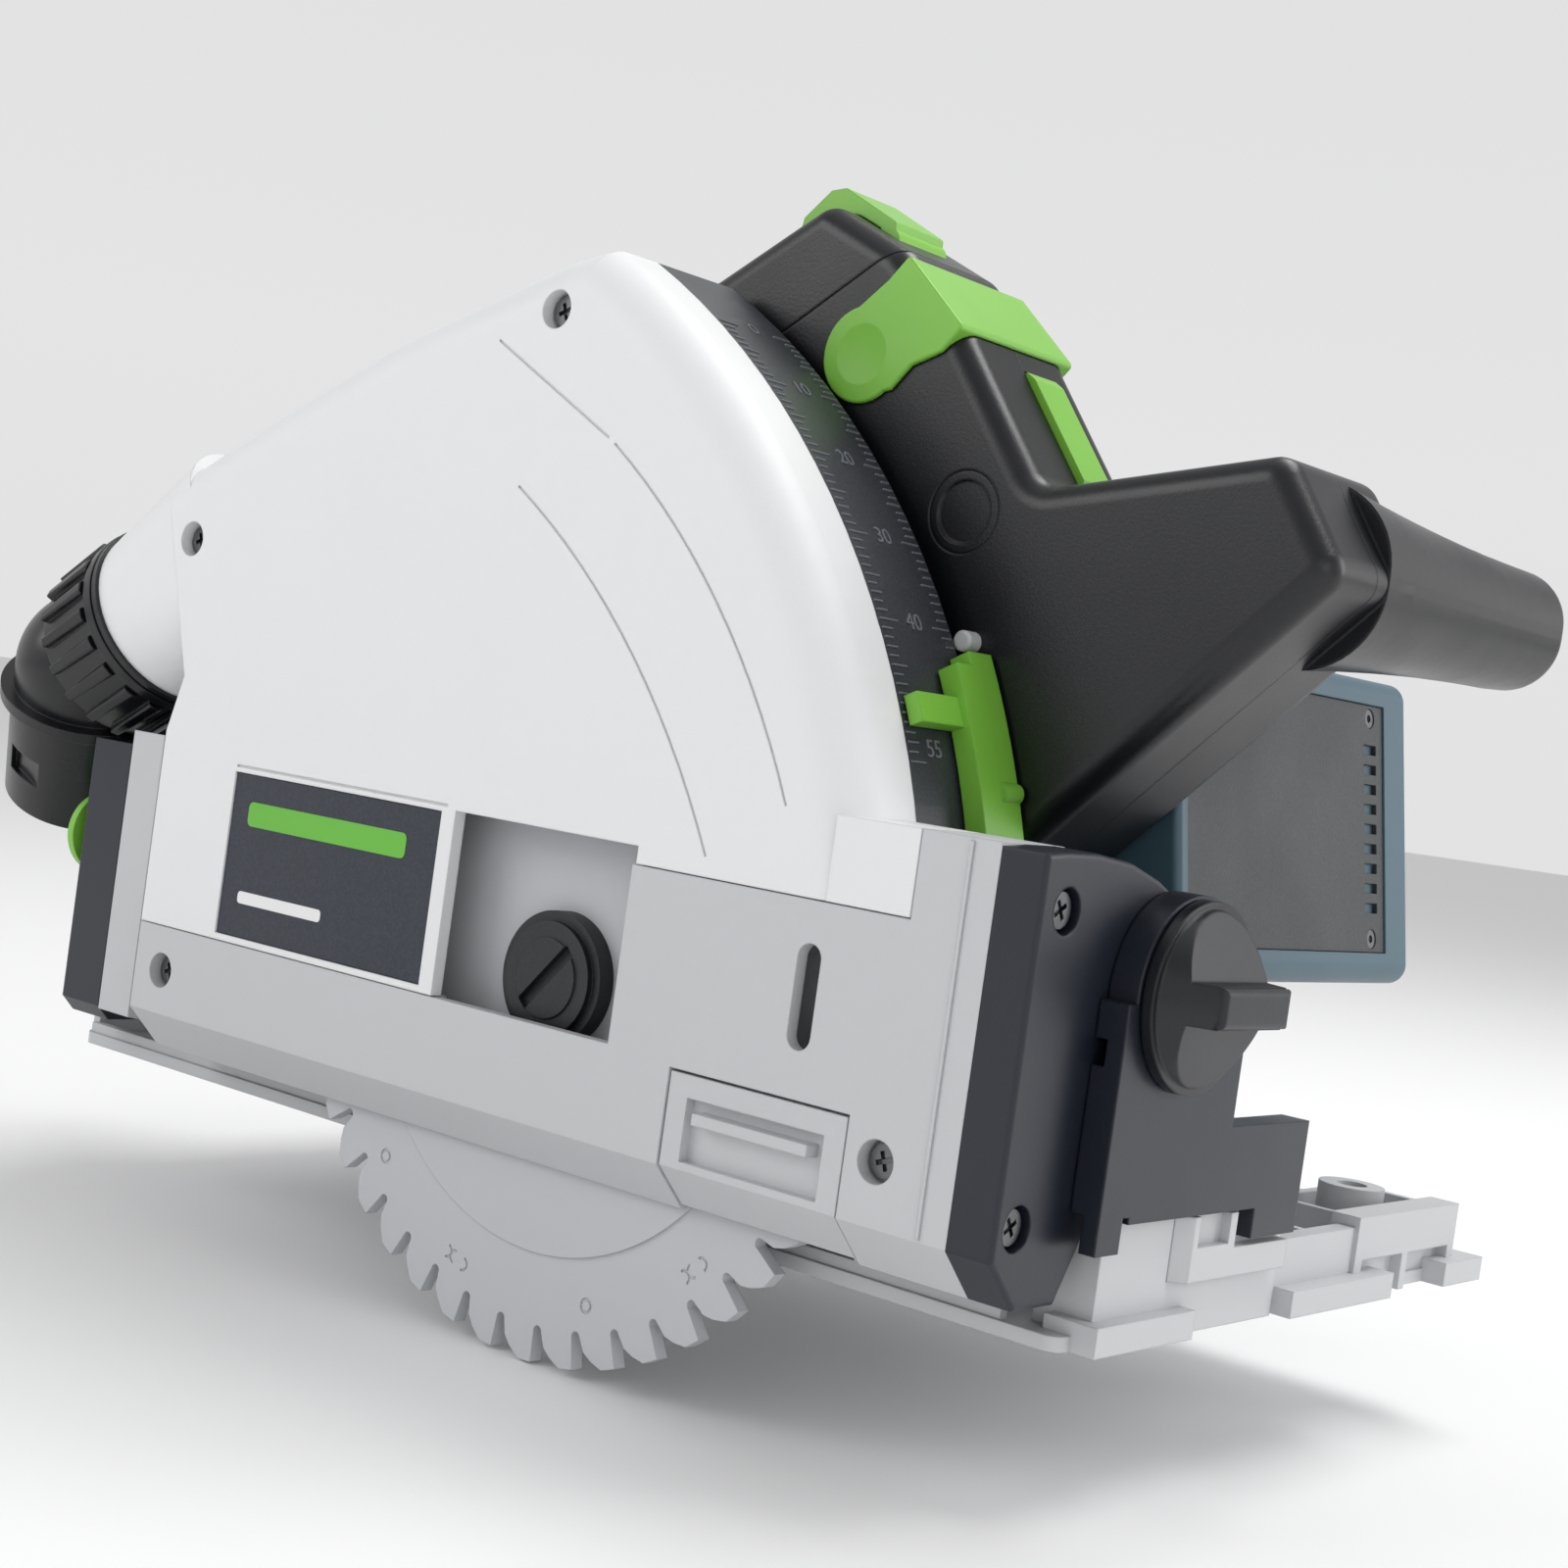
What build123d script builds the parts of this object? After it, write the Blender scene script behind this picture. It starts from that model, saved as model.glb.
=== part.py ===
from build123d import *
import math
import os

os.makedirs("parts", exist_ok=True)

# Frame: +X is the cutting direction, +Y points from the blade cover towards the
# motor, +Z is up. The origin lies on the sole, below the blade axis.
# Everything is in millimetres and stands in the plunged pose.

# ---- driving dimensions -------------------------------------------------------
COVER_Y = -40.0          # outer face of the blade cover
SHELL = 2.6              # general wall of the moulded shells
AXLE_Z = 40.5            # blade axis above the sole, fully plunged
BLADE_R = 68.6           # tip radius of the blade
BLADE_TEETH = 42
PIVOT_X = -82.0          # plunge pivot
PIVOT_Z = 33.5
RIM_R = 155.5            # depth band radius about the plunge pivot
BEVEL_DEPTH = 14.0       # bevel axis: this deep behind the cover face, on the sole
LOWER_Z = 15.5           # lower edge of the flat cover face
CHAMFER_Z = 7.5          # lower end of the 45 degree chamfer below it
SEAM_Z = 33.2            # seam between lower housing and blade cover
DECK_Z = 78.0            # top of the front part of the housing
REAR_X = -110.0          # rear end of the cover face
FRONT_X = 95.9           # front end of the light housing
CAP_X = 104.4            # front face of the dark end cover
BACK_DEPTH = 38.0        # back face of the guard, behind the cover face
SPLIT_DEPTH = 17.0       # joint between the cover and the depth band half
UNIT_NEAR = 42.0         # near side of the motor unit
UNIT_SEAM = 58.0         # joint between the two handle shells
UNIT_FAR = 76.0
GEAR_MODULE = 1.0
PINION_TEETH = 12
GEAR_TEETH = 48
MOTOR_X = 15.0           # motor axis, one gear centre distance from the blade axis
MOTOR_Z = AXLE_Z + math.sqrt(30.0**2 - MOTOR_X**2)
BATTERY_TILT = 9.5
BASE_REAR_X = -152.0
BASE_FRONT_X = 105.4
BASE_NEAR = 20.0         # near edge of the base plate
BASE_FAR = 168.0
BASE_T = 2.5
NECK_TILT = 29.0         # dust neck points rearwards and this far down
NECK_X = -138.0          # centre of the neck's end ring
NECK_Z = 95.5
NECK_DEPTH = 20.0
NECK_R = 20.0


# ---- helpers --------------------------------------------------------------------
def side(depth):
    """Plane across Y at a depth behind the cover face: local x = X, local y = Z."""
    return Plane.XZ.offset(-(COVER_Y + depth))


def front(x):
    """Plane across X: local x = Y, local y = Z."""
    return Plane.YZ.offset(x)


def prism(points, near, far, mode=Mode.ADD, radius=0.0):
    """Straight block over an outline of (x, z) points, between two depths."""
    with BuildSketch(side(near), mode=Mode.PRIVATE) as profile:
        with BuildLine():
            Polyline(*points, close=True)
        make_face()
        if radius > 0:
            fillet(profile.vertices(), radius)
    extrude(profile.sketch, amount=-(far - near), mode=mode)


def drum(x, z, radius, near, far, mode=Mode.ADD):
    """Round block along Y between two depths."""
    with BuildSketch(side(near), mode=Mode.PRIVATE) as profile:
        with Locations((x, z)):
            Circle(radius)
    extrude(profile.sketch, amount=-(far - near), mode=mode)


def slab(x0, x1, near, far, z0, z1, mode=Mode.ADD):
    """Box from its limits, with the Y limits given as depths."""
    with Locations(((x0 + x1) / 2, COVER_Y + (near + far) / 2, (z0 + z1) / 2)):
        Box(x1 - x0, far - near, z1 - z0, mode=mode)


def plate(points, x0, x1, mode=Mode.ADD, radius=0.0):
    """Straight block along X over an outline of (depth, z) points."""
    with BuildSketch(front(x0), mode=Mode.PRIVATE) as profile:
        with BuildLine():
            Polyline(*[(COVER_Y + d, z) for d, z in points], close=True)
        make_face()
        if radius > 0:
            fillet(profile.vertices(), radius)
    extrude(profile.sketch, amount=x1 - x0, mode=mode)


def shaft(depth, z, radius, x0, x1, mode=Mode.ADD):
    """Round block along X."""
    with BuildSketch(front(x0), mode=Mode.PRIVATE) as profile:
        with Locations((COVER_Y + depth, z)):
            Circle(radius)
    extrude(profile.sketch, amount=x1 - x0, mode=mode)


def around(cx, cz, radius, degrees):
    """Point on a circle in the X, Z plane."""
    angle = math.radians(degrees)
    return (cx + radius * math.cos(angle), cz + radius * math.sin(angle))


def arc_points(cx, cz, radius, start, end, steps):
    """Points along a circle, as a list."""
    return [around(cx, cz, radius, start + (end - start) * i / steps) for i in range(steps + 1)]


def sector(cx, cz, inner, outer, start, end, near, far, mode=Mode.ADD):
    """Curved bar about a Y axis between two radii, two angles and two depths."""
    mid = (start + end) / 2
    with BuildSketch(side(near), mode=Mode.PRIVATE) as profile:
        with BuildLine():
            a0, a1, a2 = (around(cx, cz, outer, a) for a in (start, mid, end))
            b0, b1, b2 = (around(cx, cz, inner, a) for a in (start, mid, end))
            ThreePointArc(a0, a1, a2)
            Line(a2, b2)
            ThreePointArc(b2, b1, b0)
            Line(b0, a0)
        make_face()
    extrude(profile.sketch, amount=-(far - near), mode=mode)


def turned(depth, z, inner, outer, start, end, x0, x1, mode=Mode.ADD):
    """Curved bar about an X axis between two radii, two angles and two X planes."""
    mid = (start + end) / 2
    cy = COVER_Y + depth
    with BuildSketch(front(x0), mode=Mode.PRIVATE) as profile:
        with BuildLine():
            a0, a1, a2 = (around(cy, z, outer, a) for a in (start, mid, end))
            b0, b1, b2 = (around(cy, z, inner, a) for a in (start, mid, end))
            ThreePointArc(a0, a1, a2)
            Line(a2, b2)
            ThreePointArc(b2, b1, b0)
            Line(b0, a0)
        make_face()
    extrude(profile.sketch, amount=x1 - x0, mode=mode)


def gear_outline(teeth, module, add, ded, width, phase):
    """Outline of a spur gear with straight-flanked teeth, as (x, z) offsets."""
    pitch = teeth * module / 2
    tip = pitch + add * module
    root = pitch - ded * module
    step = 360.0 / teeth
    points = []
    for tooth in range(teeth):
        centre = phase + tooth * step
        half_root = step * (width + 0.16) / 2
        half_tip = step * (width - 0.20) / 2
        for radius, angle in (
            (root, centre - half_root),
            (tip, centre - half_tip),
            (tip, centre + half_tip),
            (root, centre + half_root),
        ):
            points.append(around(0, 0, radius, angle))
    return points


def groove(a, b, width, depth):
    """Shallow straight groove in the cover face between two (x, z) points."""
    length = math.dist(a, b)
    lean = math.degrees(math.atan2(b[1] - a[1], b[0] - a[0]))
    with BuildSketch(side(0), mode=Mode.PRIVATE) as profile:
        with Locations(((a[0] + b[0]) / 2, (a[1] + b[1]) / 2)):
            Rectangle(length, width, rotation=lean)
    extrude(profile.sketch, amount=-depth, mode=Mode.SUBTRACT)


def save(part, name):
    """Name the solid and write it."""
    part.label = name
    export_step(part, "parts/" + name + ".step")


# ---- outlines shared by several pieces ------------------------------------------
RIM_TOP = 61.5
FAN_TOP = [(-121.0, 124.2), (-93.0, 138.2), (-58.0, 154.0), (-16.0, 168.6)]
FACE_SCREWS = [(-101.7, 24.2), (80.7, 25.8), (-14.5, 158.1), (-109.9, 111.1)]
FACE_SCREW_DEPTH = 4.0


def fan_outline(low, inset=0.0):
    """Side view of the guard, from a lower edge height up to the rim."""
    radius = RIM_R - inset
    foot = math.degrees(math.asin((low - PIVOT_Z) / radius))
    rim = arc_points(PIVOT_X, PIVOT_Z, radius, foot, RIM_TOP - inset * 0.35, 24)
    rear = [
        (-121.0 + inset * 0.9, 124.2 - inset),
        (-106.5 + inset, 83.5),
        (REAR_X + inset, 72.0),
        (REAR_X + inset, low),
    ]
    top = [(-16.0 - inset * 0.3, 168.6 - inset), (-58.0, 154.0 - inset * 1.06)]
    top.append((-93.0, 138.2 - inset * 1.08))
    return rim + top + rear


# ---- base plate -----------------------------------------------------------------
with BuildPart() as base_plate:
    slab(BASE_REAR_X, BASE_FRONT_X, BASE_NEAR, BASE_FAR, 0, BASE_T)
    fillet(base_plate.edges().filter_by(Axis.Z), 3.0)
    # edge walls
    slab(-150.0, 103.4, 165.4, 167.6, 0, 9.0)
    slab(-151.6, -149.4, 22.0, 167.0, 0, 8.0)
    slab(96.0, 107.0, 26.7, 76.8, 0, 20.9)
    slab(96.0, 104.4, 28.9, 74.6, 2.6, 18.5, Mode.SUBTRACT)
    slab(94.0, 98.2, 28.9, 74.6, 2.5, 22.0, Mode.SUBTRACT)
    # seat of the front bracket keeps a roof over the hollow
    slab(98.2, 104.4, 44.0, 46.0, 2.5, 18.5)
    slab(98.2, 104.4, 60.0, 62.0, 2.5, 18.5)
    # stepped front wall further out
    slab(101.0, 107.0, 76.8, 86.0, 0, 15.5)
    slab(102.6, 106.2, 85.0, 117.0, 0, 13.2)
    slab(101.0, 107.0, 116.9, 160.0, 7.0, 15.2)
    slab(101.0, 107.0, 116.9, 120.0, 0, 15.2)
    slab(101.0, 107.0, 137.0, 139.5, 0, 15.2)
    slab(101.0, 107.0, 157.2, 160.0, 0, 15.2)
    slab(103.0, 104.8, 118.0, 159.0, 0, 9.0)
    # feet
    slab(100.0, 110.0, 23.8, 54.0, 0, 4.9)
    slab(100.0, 110.0, 88.0, 127.9, 0, 4.8)
    slab(100.0, 110.0, 151.0, 168.0, 0, 4.6)
    slab(106.0, 111.0, 134.0, 137.0, 0, 3.0, Mode.SUBTRACT)
    # pockets behind the front wall
    slab(78.0, 80.0, 84.0, 166.0, 0, 12.0)
    slab(78.0, 103.0, 84.0, 86.0, 0, 13.0)
    slab(78.0, 103.0, 108.0, 110.0, 0, 12.0)
    slab(78.0, 103.0, 134.0, 136.0, 0, 12.0)
    slab(78.0, 103.0, 158.0, 160.0, 0, 14.0)
    # long ribs and cross ribs
    for depth in (92.0, 128.0):
        slab(-150.0, 79.0, depth, depth + 2.0, 0, 6.0)
    for x in (-120.0, -80.0, -40.0, 0.0, 40.0):
        slab(x, x + 2.0, 22.0, 167.0, 0, 5.5)
    slab(-150.0, 94.0, 20.6, 22.6, 0, 4.6)
    # seat block of the rear bracket
    slab(-151.6, -140.0, 52.0, 84.0, 0, 12.0)
    # round lug and its screw hole
    with BuildSketch(Plane.XY.offset(BASE_T), mode=Mode.PRIVATE) as lug:
        with Locations((90.0, COVER_Y + 97.0), (90.0, COVER_Y + 147.0)):
            Circle(6.5)
    extrude(lug.sketch, amount=13.5)
    with BuildSketch(Plane.XY.offset(BASE_T), mode=Mode.PRIVATE) as lug_hole:
        with Locations((90.0, COVER_Y + 97.0), (90.0, COVER_Y + 147.0)):
            Circle(3.0)
    extrude(lug_hole.sketch, amount=20.0, mode=Mode.SUBTRACT)
save(base_plate.part, "base_plate")

# clip on the front of the base
with BuildPart() as front_clip:
    with BuildSketch(Plane.XY.offset(9.4), mode=Mode.PRIVATE) as clip_outline:
        with BuildLine():
            Polyline((107.0, COVER_Y + 48.0), (109.4, COVER_Y + 51.0), (109.4, COVER_Y + 65.0),
                     (107.0, COVER_Y + 66.4), close=True)
        make_face()
    extrude(clip_outline.sketch, amount=11.0)
    slab(107.6, 110.0, 52.6, 62.8, 15.2, 21.0, Mode.SUBTRACT)
    slab(107.0, 109.4, 65.0, 84.0, 9.4, 14.4)
save(front_clip.part, "front_clip")

# bevel brackets ------------------------------------------------------------------
GUIDE_IN = 46.0
GUIDE_OUT = 50.0
KNOB_DEPTH = 38.0
KNOB_Z = 57.0
with BuildPart() as front_bracket:
    plate([(19.7, 22.2), (19.7, 55.7), (57.4, 55.7), (57.4, 35.3), (84.6, 35.3), (84.6, 21.0)],
          CAP_X + 0.2, 110.0)
    shaft(KNOB_DEPTH, KNOB_Z, 16.2, CAP_X + 0.2, 110.0)
    slab(104.6, 112.0, 15.0, 26.6, 20.0, 22.4, Mode.SUBTRACT)
    # legs down to the base
    slab(107.0, 110.0, 19.7, 26.5, 16.4, 24.0)
    slab(107.1, 110.0, 69.2, 84.6, 15.7, 22.0)
    # foot that carries the bracket on the block
    slab(98.4, 110.0, 28.4, 76.5, 20.9, 23.4)
    slab(98.0, CAP_X + 0.2, 20.0, 80.0, 22.3, 24.0, Mode.SUBTRACT)
    # guide groove for the rib of the tilting cover
    turned(BEVEL_DEPTH, 0, GUIDE_IN - 0.1, GUIDE_OUT + 0.1, 26.0, 86.0,
           CAP_X, CAP_X + 2.4, Mode.SUBTRACT)
    shaft(KNOB_DEPTH, KNOB_Z, 3.06, 100.0, 112.0, Mode.SUBTRACT)
save(front_bracket.part, "front_bracket")

REAR_CAP_X = -145.0
REAR_KNOB_DEPTH = 60.0
REAR_KNOB_Z = 30.0
with BuildPart() as rear_bracket:
    plate([(46.0, 12.0), (46.0, 42.0), (72.0, 42.0), (80.0, 24.0), (80.0, 12.0)],
          REAR_CAP_X - 5.0, REAR_CAP_X - 0.2)
    turned(BEVEL_DEPTH, 0, 47.9, 52.1, 8.0, 70.0,
           REAR_CAP_X - 2.4, REAR_CAP_X, Mode.SUBTRACT)
    shaft(REAR_KNOB_DEPTH, REAR_KNOB_Z, 3.06, -156.0, -140.0, Mode.SUBTRACT)
save(rear_bracket.part, "rear_bracket")


# bevel clamp knobs -----------------------------------------------------------------
with BuildPart() as front_knob:
    shaft(KNOB_DEPTH, KNOB_Z, 15.6, 110.3, 112.3)
    with BuildSketch(front(112.3)) as dome_base:
        with Locations((COVER_Y + KNOB_DEPTH, KNOB_Z)):
            Circle(14.4)
    extrude(amount=8.5, taper=24)
    # finger scoops leave a bar across the knob
    for z0, z1 in ((KNOB_Z + 3.4, KNOB_Z + 30), (KNOB_Z - 30, KNOB_Z - 3.4)):
        mid = (z0 + z1) / 2
        with BuildSketch(Plane.XZ.offset(-COVER_Y - KNOB_DEPTH + 30), mode=Mode.PRIVATE) as scoop:
            with BuildLine():
                edge = z0 if z0 > KNOB_Z else z1
                away = z1 if z0 > KNOB_Z else z0
                Polyline((116.4, edge), (130.0, edge), (130.0, away), (112.8, away),
                         (112.8, edge + (away - edge) * 0.42), close=True)
            make_face()
        extrude(scoop.sketch, amount=-60, mode=Mode.SUBTRACT)
    slab(112.0, 122.0, 27.5, 48.5, KNOB_Z - 3.2, KNOB_Z + 3.2)
    fillet(front_knob.faces().sort_by(Axis.X)[-1].edges(), 1.0)
save(front_knob.part, "front_knob")

with BuildPart() as front_knob_stud:
    shaft(KNOB_DEPTH, KNOB_Z, 3.0, 104.5, 110.3)
save(front_knob_stud.part, "front_knob_stud")

with BuildPart() as rear_knob:
    shaft(REAR_KNOB_DEPTH, REAR_KNOB_Z, 11.0, REAR_CAP_X - 13.0, REAR_CAP_X - 5.3)
    fillet(rear_knob.faces().sort_by(Axis.X)[0].edges(), 1.5)
    for i in range(10):
        angle = math.radians(36.0 * i)
        shaft(REAR_KNOB_DEPTH + 12.0 * math.cos(angle), REAR_KNOB_Z + 12.0 * math.sin(angle), 2.4,
              REAR_CAP_X - 14.0, REAR_CAP_X - 5.0, Mode.SUBTRACT)
    shaft(REAR_KNOB_DEPTH, REAR_KNOB_Z, 3.0, REAR_CAP_X - 6.0, REAR_CAP_X - 2.6)
save(rear_knob.part, "rear_knob")

# ---- blade cover: white upper shell ------------------------------------------------
neck_dir = (-math.cos(math.radians(NECK_TILT)), 0, -math.sin(math.radians(NECK_TILT)))


def neck_plane(distance):
    """Plane across the dust neck, a distance inwards (+) or outwards (-) of its end ring."""
    origin = (
        NECK_X - neck_dir[0] * distance,
        COVER_Y + NECK_DEPTH,
        NECK_Z - neck_dir[2] * distance,
    )
    return Plane(origin=origin, x_dir=(0, 1, 0), z_dir=neck_dir)


LABEL = (-86.2, -26.4, 34.5, 66.5)
FACE_LINES = [
    ((-28.0, 152.4), (2.6, 135.8)), ((-86.0, 67.7), (-25.0, 67.7)),
]
WINDOW = (-22.8, 21.6, 33.2, 67.0)
with BuildPart() as blade_cover:
    prism(fan_outline(SEAM_Z), 0, SPLIT_DEPTH)
    outer = blade_cover.faces().sort_by(Axis.Y)[0].edges()
    fillet([e for e in outer if e.center().Z > 79.5 and e.center().X > -113], 9.0)
    # neck: rectangular root that turns into a round end
    with BuildSketch(neck_plane(0)):
        RectangleRounded(2 * NECK_R, 2 * NECK_R, NECK_R - 0.05)
    with BuildSketch(neck_plane(34)):
        RectangleRounded(2 * NECK_R - 1.0, 2 * NECK_R + 1.0, 11.0)
    loft()
    # hollow of the cover
    prism(fan_outline(SEAM_Z - 3, 5.2), SHELL, 8.0, Mode.SUBTRACT)
    prism(fan_outline(SEAM_Z - 3, SHELL), 7.5, SPLIT_DEPTH + 1, Mode.SUBTRACT)
    with BuildSketch(neck_plane(-1)):
        Circle(NECK_R - 3.0)
    with BuildSketch(neck_plane(46)):
        Circle(NECK_R - 5.0)
    loft(mode=Mode.SUBTRACT)
    # deck in front of the rim
    slab(63.9, 80.7, 0, SPLIT_DEPTH, 63.8, DECK_Z)
    slab(62.0, 80.7 - SHELL, SHELL, SPLIT_DEPTH + 1, 60.0, DECK_Z - SHELL, Mode.SUBTRACT)
    # front part gives way to the lower housing
    slab(80.7, 130.0, -1, SPLIT_DEPTH + 1, 0, 200.0, Mode.SUBTRACT)
    slab(41.1, 130.0, -1, SPLIT_DEPTH + 1, 0, 64.0, Mode.SUBTRACT)
    slab(WINDOW[1], 130.0, -1, SPLIT_DEPTH + 1, 0, 64.0, Mode.SUBTRACT)
    slab(WINDOW[0], WINDOW[1] + 1, -1, SHELL + 1, 0, WINDOW[3], Mode.SUBTRACT)
    # label pocket, backed by a pad
    slab(LABEL[0] - 2, LABEL[1] + 2, SHELL - 0.2, SHELL + 1.4, LABEL[2], LABEL[3] + 2)
    slab(LABEL[0], LABEL[1], -1, 1.4, LABEL[2], LABEL[3], Mode.SUBTRACT)
    # screw bosses of the cover
    for x, z in FACE_SCREWS[2:]:
        drum(x, z, 5.0, SHELL - 0.5, SPLIT_DEPTH)
        drum(x, z, 3.5, -2, FACE_SCREW_DEPTH, Mode.SUBTRACT)
        drum(x, z, 1.7, 0, SPLIT_DEPTH + 1, Mode.SUBTRACT)
    # fine panel lines of the face: two arcs and two straight lines
    sector(-80.6, 12.3, 148.8, 149.2, 26.1, 55.3, -1, 0.4, Mode.SUBTRACT)
    sector(-100.8, -7.8, 157.4, 157.8, 28.5, 58.3, -1, 0.4, Mode.SUBTRACT)
    for a, b in FACE_LINES:
        groove(a, b, 0.4, 0.4)
save(blade_cover.part, "blade_cover")

# label plate, flush in its pocket
with BuildPart() as label_plate:
    slab(LABEL[0] + 0.15, LABEL[1] - 0.15, 0.3, 1.4, LABEL[2] + 0.15, LABEL[3] - 0.15)
save(label_plate.part, "label_plate")

# ---- lower housing ------------------------------------------------------------------
FLAP = (36.7, 74.2, 6.4, 31.4)
LOW_SIDE = [
    (0, LOWER_Z), (0, DECK_Z), (SPLIT_DEPTH, DECK_Z), (SPLIT_DEPTH, CHAMFER_Z), (8.0, CHAMFER_Z),
]
with BuildPart() as lower_housing:
    plate(LOW_SIDE, REAR_X, FRONT_X)
    # keep only the band below the seam, the front panel and the column
    slab(REAR_X - 1, WINDOW[1] + 0.2, -1, SPLIT_DEPTH + 1, SEAM_Z - 0.2, 90, Mode.SUBTRACT)
    slab(WINDOW[1] - 1, 41.3, -1, SPLIT_DEPTH + 1, 63.8, 90, Mode.SUBTRACT)
    slab(41.0, 80.9, -1, SPLIT_DEPTH + 1, 63.8, 90, Mode.SUBTRACT)
    # hollow
    inner = [(SHELL, LOWER_Z + 1), (SHELL, DECK_Z - SHELL), (18, DECK_Z - SHELL), (18, 6), (11.3, 6), (11.3, 8)]
    plate(inner, REAR_X + SHELL, FRONT_X - SHELL, Mode.SUBTRACT)
    slab(-72.5, 72.5, 9.2, 18, 0, 20, Mode.SUBTRACT)
    # the top edge of the band and of the panel stay closed towards the cover's seam
    slab(REAR_X + SHELL, -24.0, SHELL, 5.0, SEAM_Z - 2.4, SEAM_Z - 0.2)
    # opening of the splinter guard
    slab(FLAP[0] - 0.4, FLAP[1] + 0.4, -1, 9.3, 0, FLAP[3] + 0.5, Mode.SUBTRACT)
    # slot in the panel
    with BuildSketch(side(0), mode=Mode.PRIVATE) as slot_shape:
        with Locations((62.3, AXLE_Z + 7.8)):
            SlotOverall(17.2, 4.8, rotation=90)
    extrude(slot_shape.sketch, amount=-6, mode=Mode.SUBTRACT)
    # two screw bosses
    for x, z in FACE_SCREWS[:2]:
        drum(x, z, 5.0, SHELL - 0.5, SPLIT_DEPTH)
        drum(x, z, 3.5, -2, FACE_SCREW_DEPTH, Mode.SUBTRACT)
        drum(x, z, 1.7, 0, SPLIT_DEPTH + 1, Mode.SUBTRACT)
    # bosses for the two screws of the front cover
    for depth, z in ((7.0, 68.9), (5.6, 20.5)):
        shaft(depth, z, 3.6, FRONT_X - 12, FRONT_X)
        shaft(depth, z, 1.55, FRONT_X - 12, FRONT_X + 1, Mode.SUBTRACT)
    # rear wall pads that take the rear column
    slab(REAR_X, REAR_X + SHELL, 11.0, SPLIT_DEPTH, 12.0, SEAM_Z - 0.2)
save(lower_housing.part, "lower_housing")

# panel seam strip: the raised ridge line on the front column
with BuildPart() as column_ridge:
    slab(90.2, 90.9, -0.35, 0.0, 16.0, DECK_Z - 0.6)
save(column_ridge.part, "column_ridge")

# splinter guard: slides down the face on a tongue plate
with BuildPart() as splinter_guard:
    plate([(0.2, FLAP[3]), (0.2, 15.6), (7.4, 8.4), (9.0, 8.4), (9.0, 10.4), (3.4, 16.6), (3.4, FLAP[3])],
          FLAP[0], FLAP[1])
    slab(FLAP[0] + 4.2, FLAP[1] - 4.2, -0.2, 2.2, 17.0, 27.6, Mode.SUBTRACT)
    slab(FLAP[0] + 4.2, FLAP[1] - 4.2, 2.2, 3.6, 17.0, 27.6)
    slab(FLAP[0] + 6.5, FLAP[1] - 6.5, -0.8, 2.4, 23.6, 25.6)
    slab(FLAP[0] - 3.0, FLAP[1] + 1.2, SHELL + 0.2, 5.0, 20.4, 36.0)
save(splinter_guard.part, "splinter_guard")

# ---- far half of the guard: depth band and back wall ---------------------------------------
SLOT_START = math.degrees(math.atan2(AXLE_Z - PIVOT_Z, -PIVOT_X))
PLUNGE = 31.0
ARM_R = math.hypot(PIVOT_X, AXLE_Z - PIVOT_Z)
NECK_SLOT = 13.6
with BuildPart() as depth_band:
    prism(fan_outline(10.5), SPLIT_DEPTH, BACK_DEPTH)
    prism(fan_outline(10.5 - 5, SHELL), SPLIT_DEPTH - 1, BACK_DEPTH - SHELL, Mode.SUBTRACT)
    # curved slot for the blade's neck
    sector(PIVOT_X, PIVOT_Z, ARM_R - NECK_SLOT, ARM_R + NECK_SLOT, SLOT_START, SLOT_START + PLUNGE,
           30, 40, Mode.SUBTRACT)
    drum(0, AXLE_Z, NECK_SLOT, 30, 40, Mode.SUBTRACT)
    top_x, top_z = around(PIVOT_X, PIVOT_Z, ARM_R, SLOT_START + PLUNGE)
    drum(top_x, top_z, NECK_SLOT, 30, 40, Mode.SUBTRACT)
    # boss of the plunge pivot and screw posts
    drum(PIVOT_X, PIVOT_Z, 8.0, 22, BACK_DEPTH + 2.0)
    drum(PIVOT_X, PIVOT_Z, 4.0, 20, BACK_DEPTH + 3, Mode.SUBTRACT)
    for x, z in FACE_SCREWS:
        if x < 60:
            drum(x, z, 4.2, SPLIT_DEPTH, BACK_DEPTH - 1)
            drum(x, z, 1.55, SPLIT_DEPTH - 1, SPLIT_DEPTH + 14, Mode.SUBTRACT)
    # room for the neck tube
    with BuildSketch(neck_plane(-4)):
        Circle(NECK_R + 0.15)
    with BuildSketch(neck_plane(16)):
        Circle(NECK_R + 0.15)
    loft(mode=Mode.SUBTRACT)
    with BuildSketch(neck_plane(15)):
        RectangleRounded(2 * NECK_R + 0.4, 2 * NECK_R + 1.4, 12.0)
    with BuildSketch(neck_plane(34)):
        RectangleRounded(2 * NECK_R + 0.4, 2 * NECK_R + 1.4, 11.2)
    loft(mode=Mode.SUBTRACT)
    # front foot of the wall, joined to the end cover
    slab(60.0, FRONT_X, SPLIT_DEPTH, 27.5, 12.0, 60.0)
    slab(60.0 - 10, FRONT_X - SHELL, SPLIT_DEPTH - 1, 25.0, 14.6, 57.4, Mode.SUBTRACT)
    drum(80.7, 25.8, 4.2, SPLIT_DEPTH, 27.0)
    drum(80.7, 25.8, 1.55, SPLIT_DEPTH - 1, 26.0, Mode.SUBTRACT)
save(depth_band.part, "depth_band")

with BuildPart() as pivot_pin:
    drum(PIVOT_X, PIVOT_Z, 4.0, 22, 72)
    drum(PIVOT_X, PIVOT_Z, 6.0, 72, 73.5)
save(pivot_pin.part, "pivot_pin")

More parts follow.
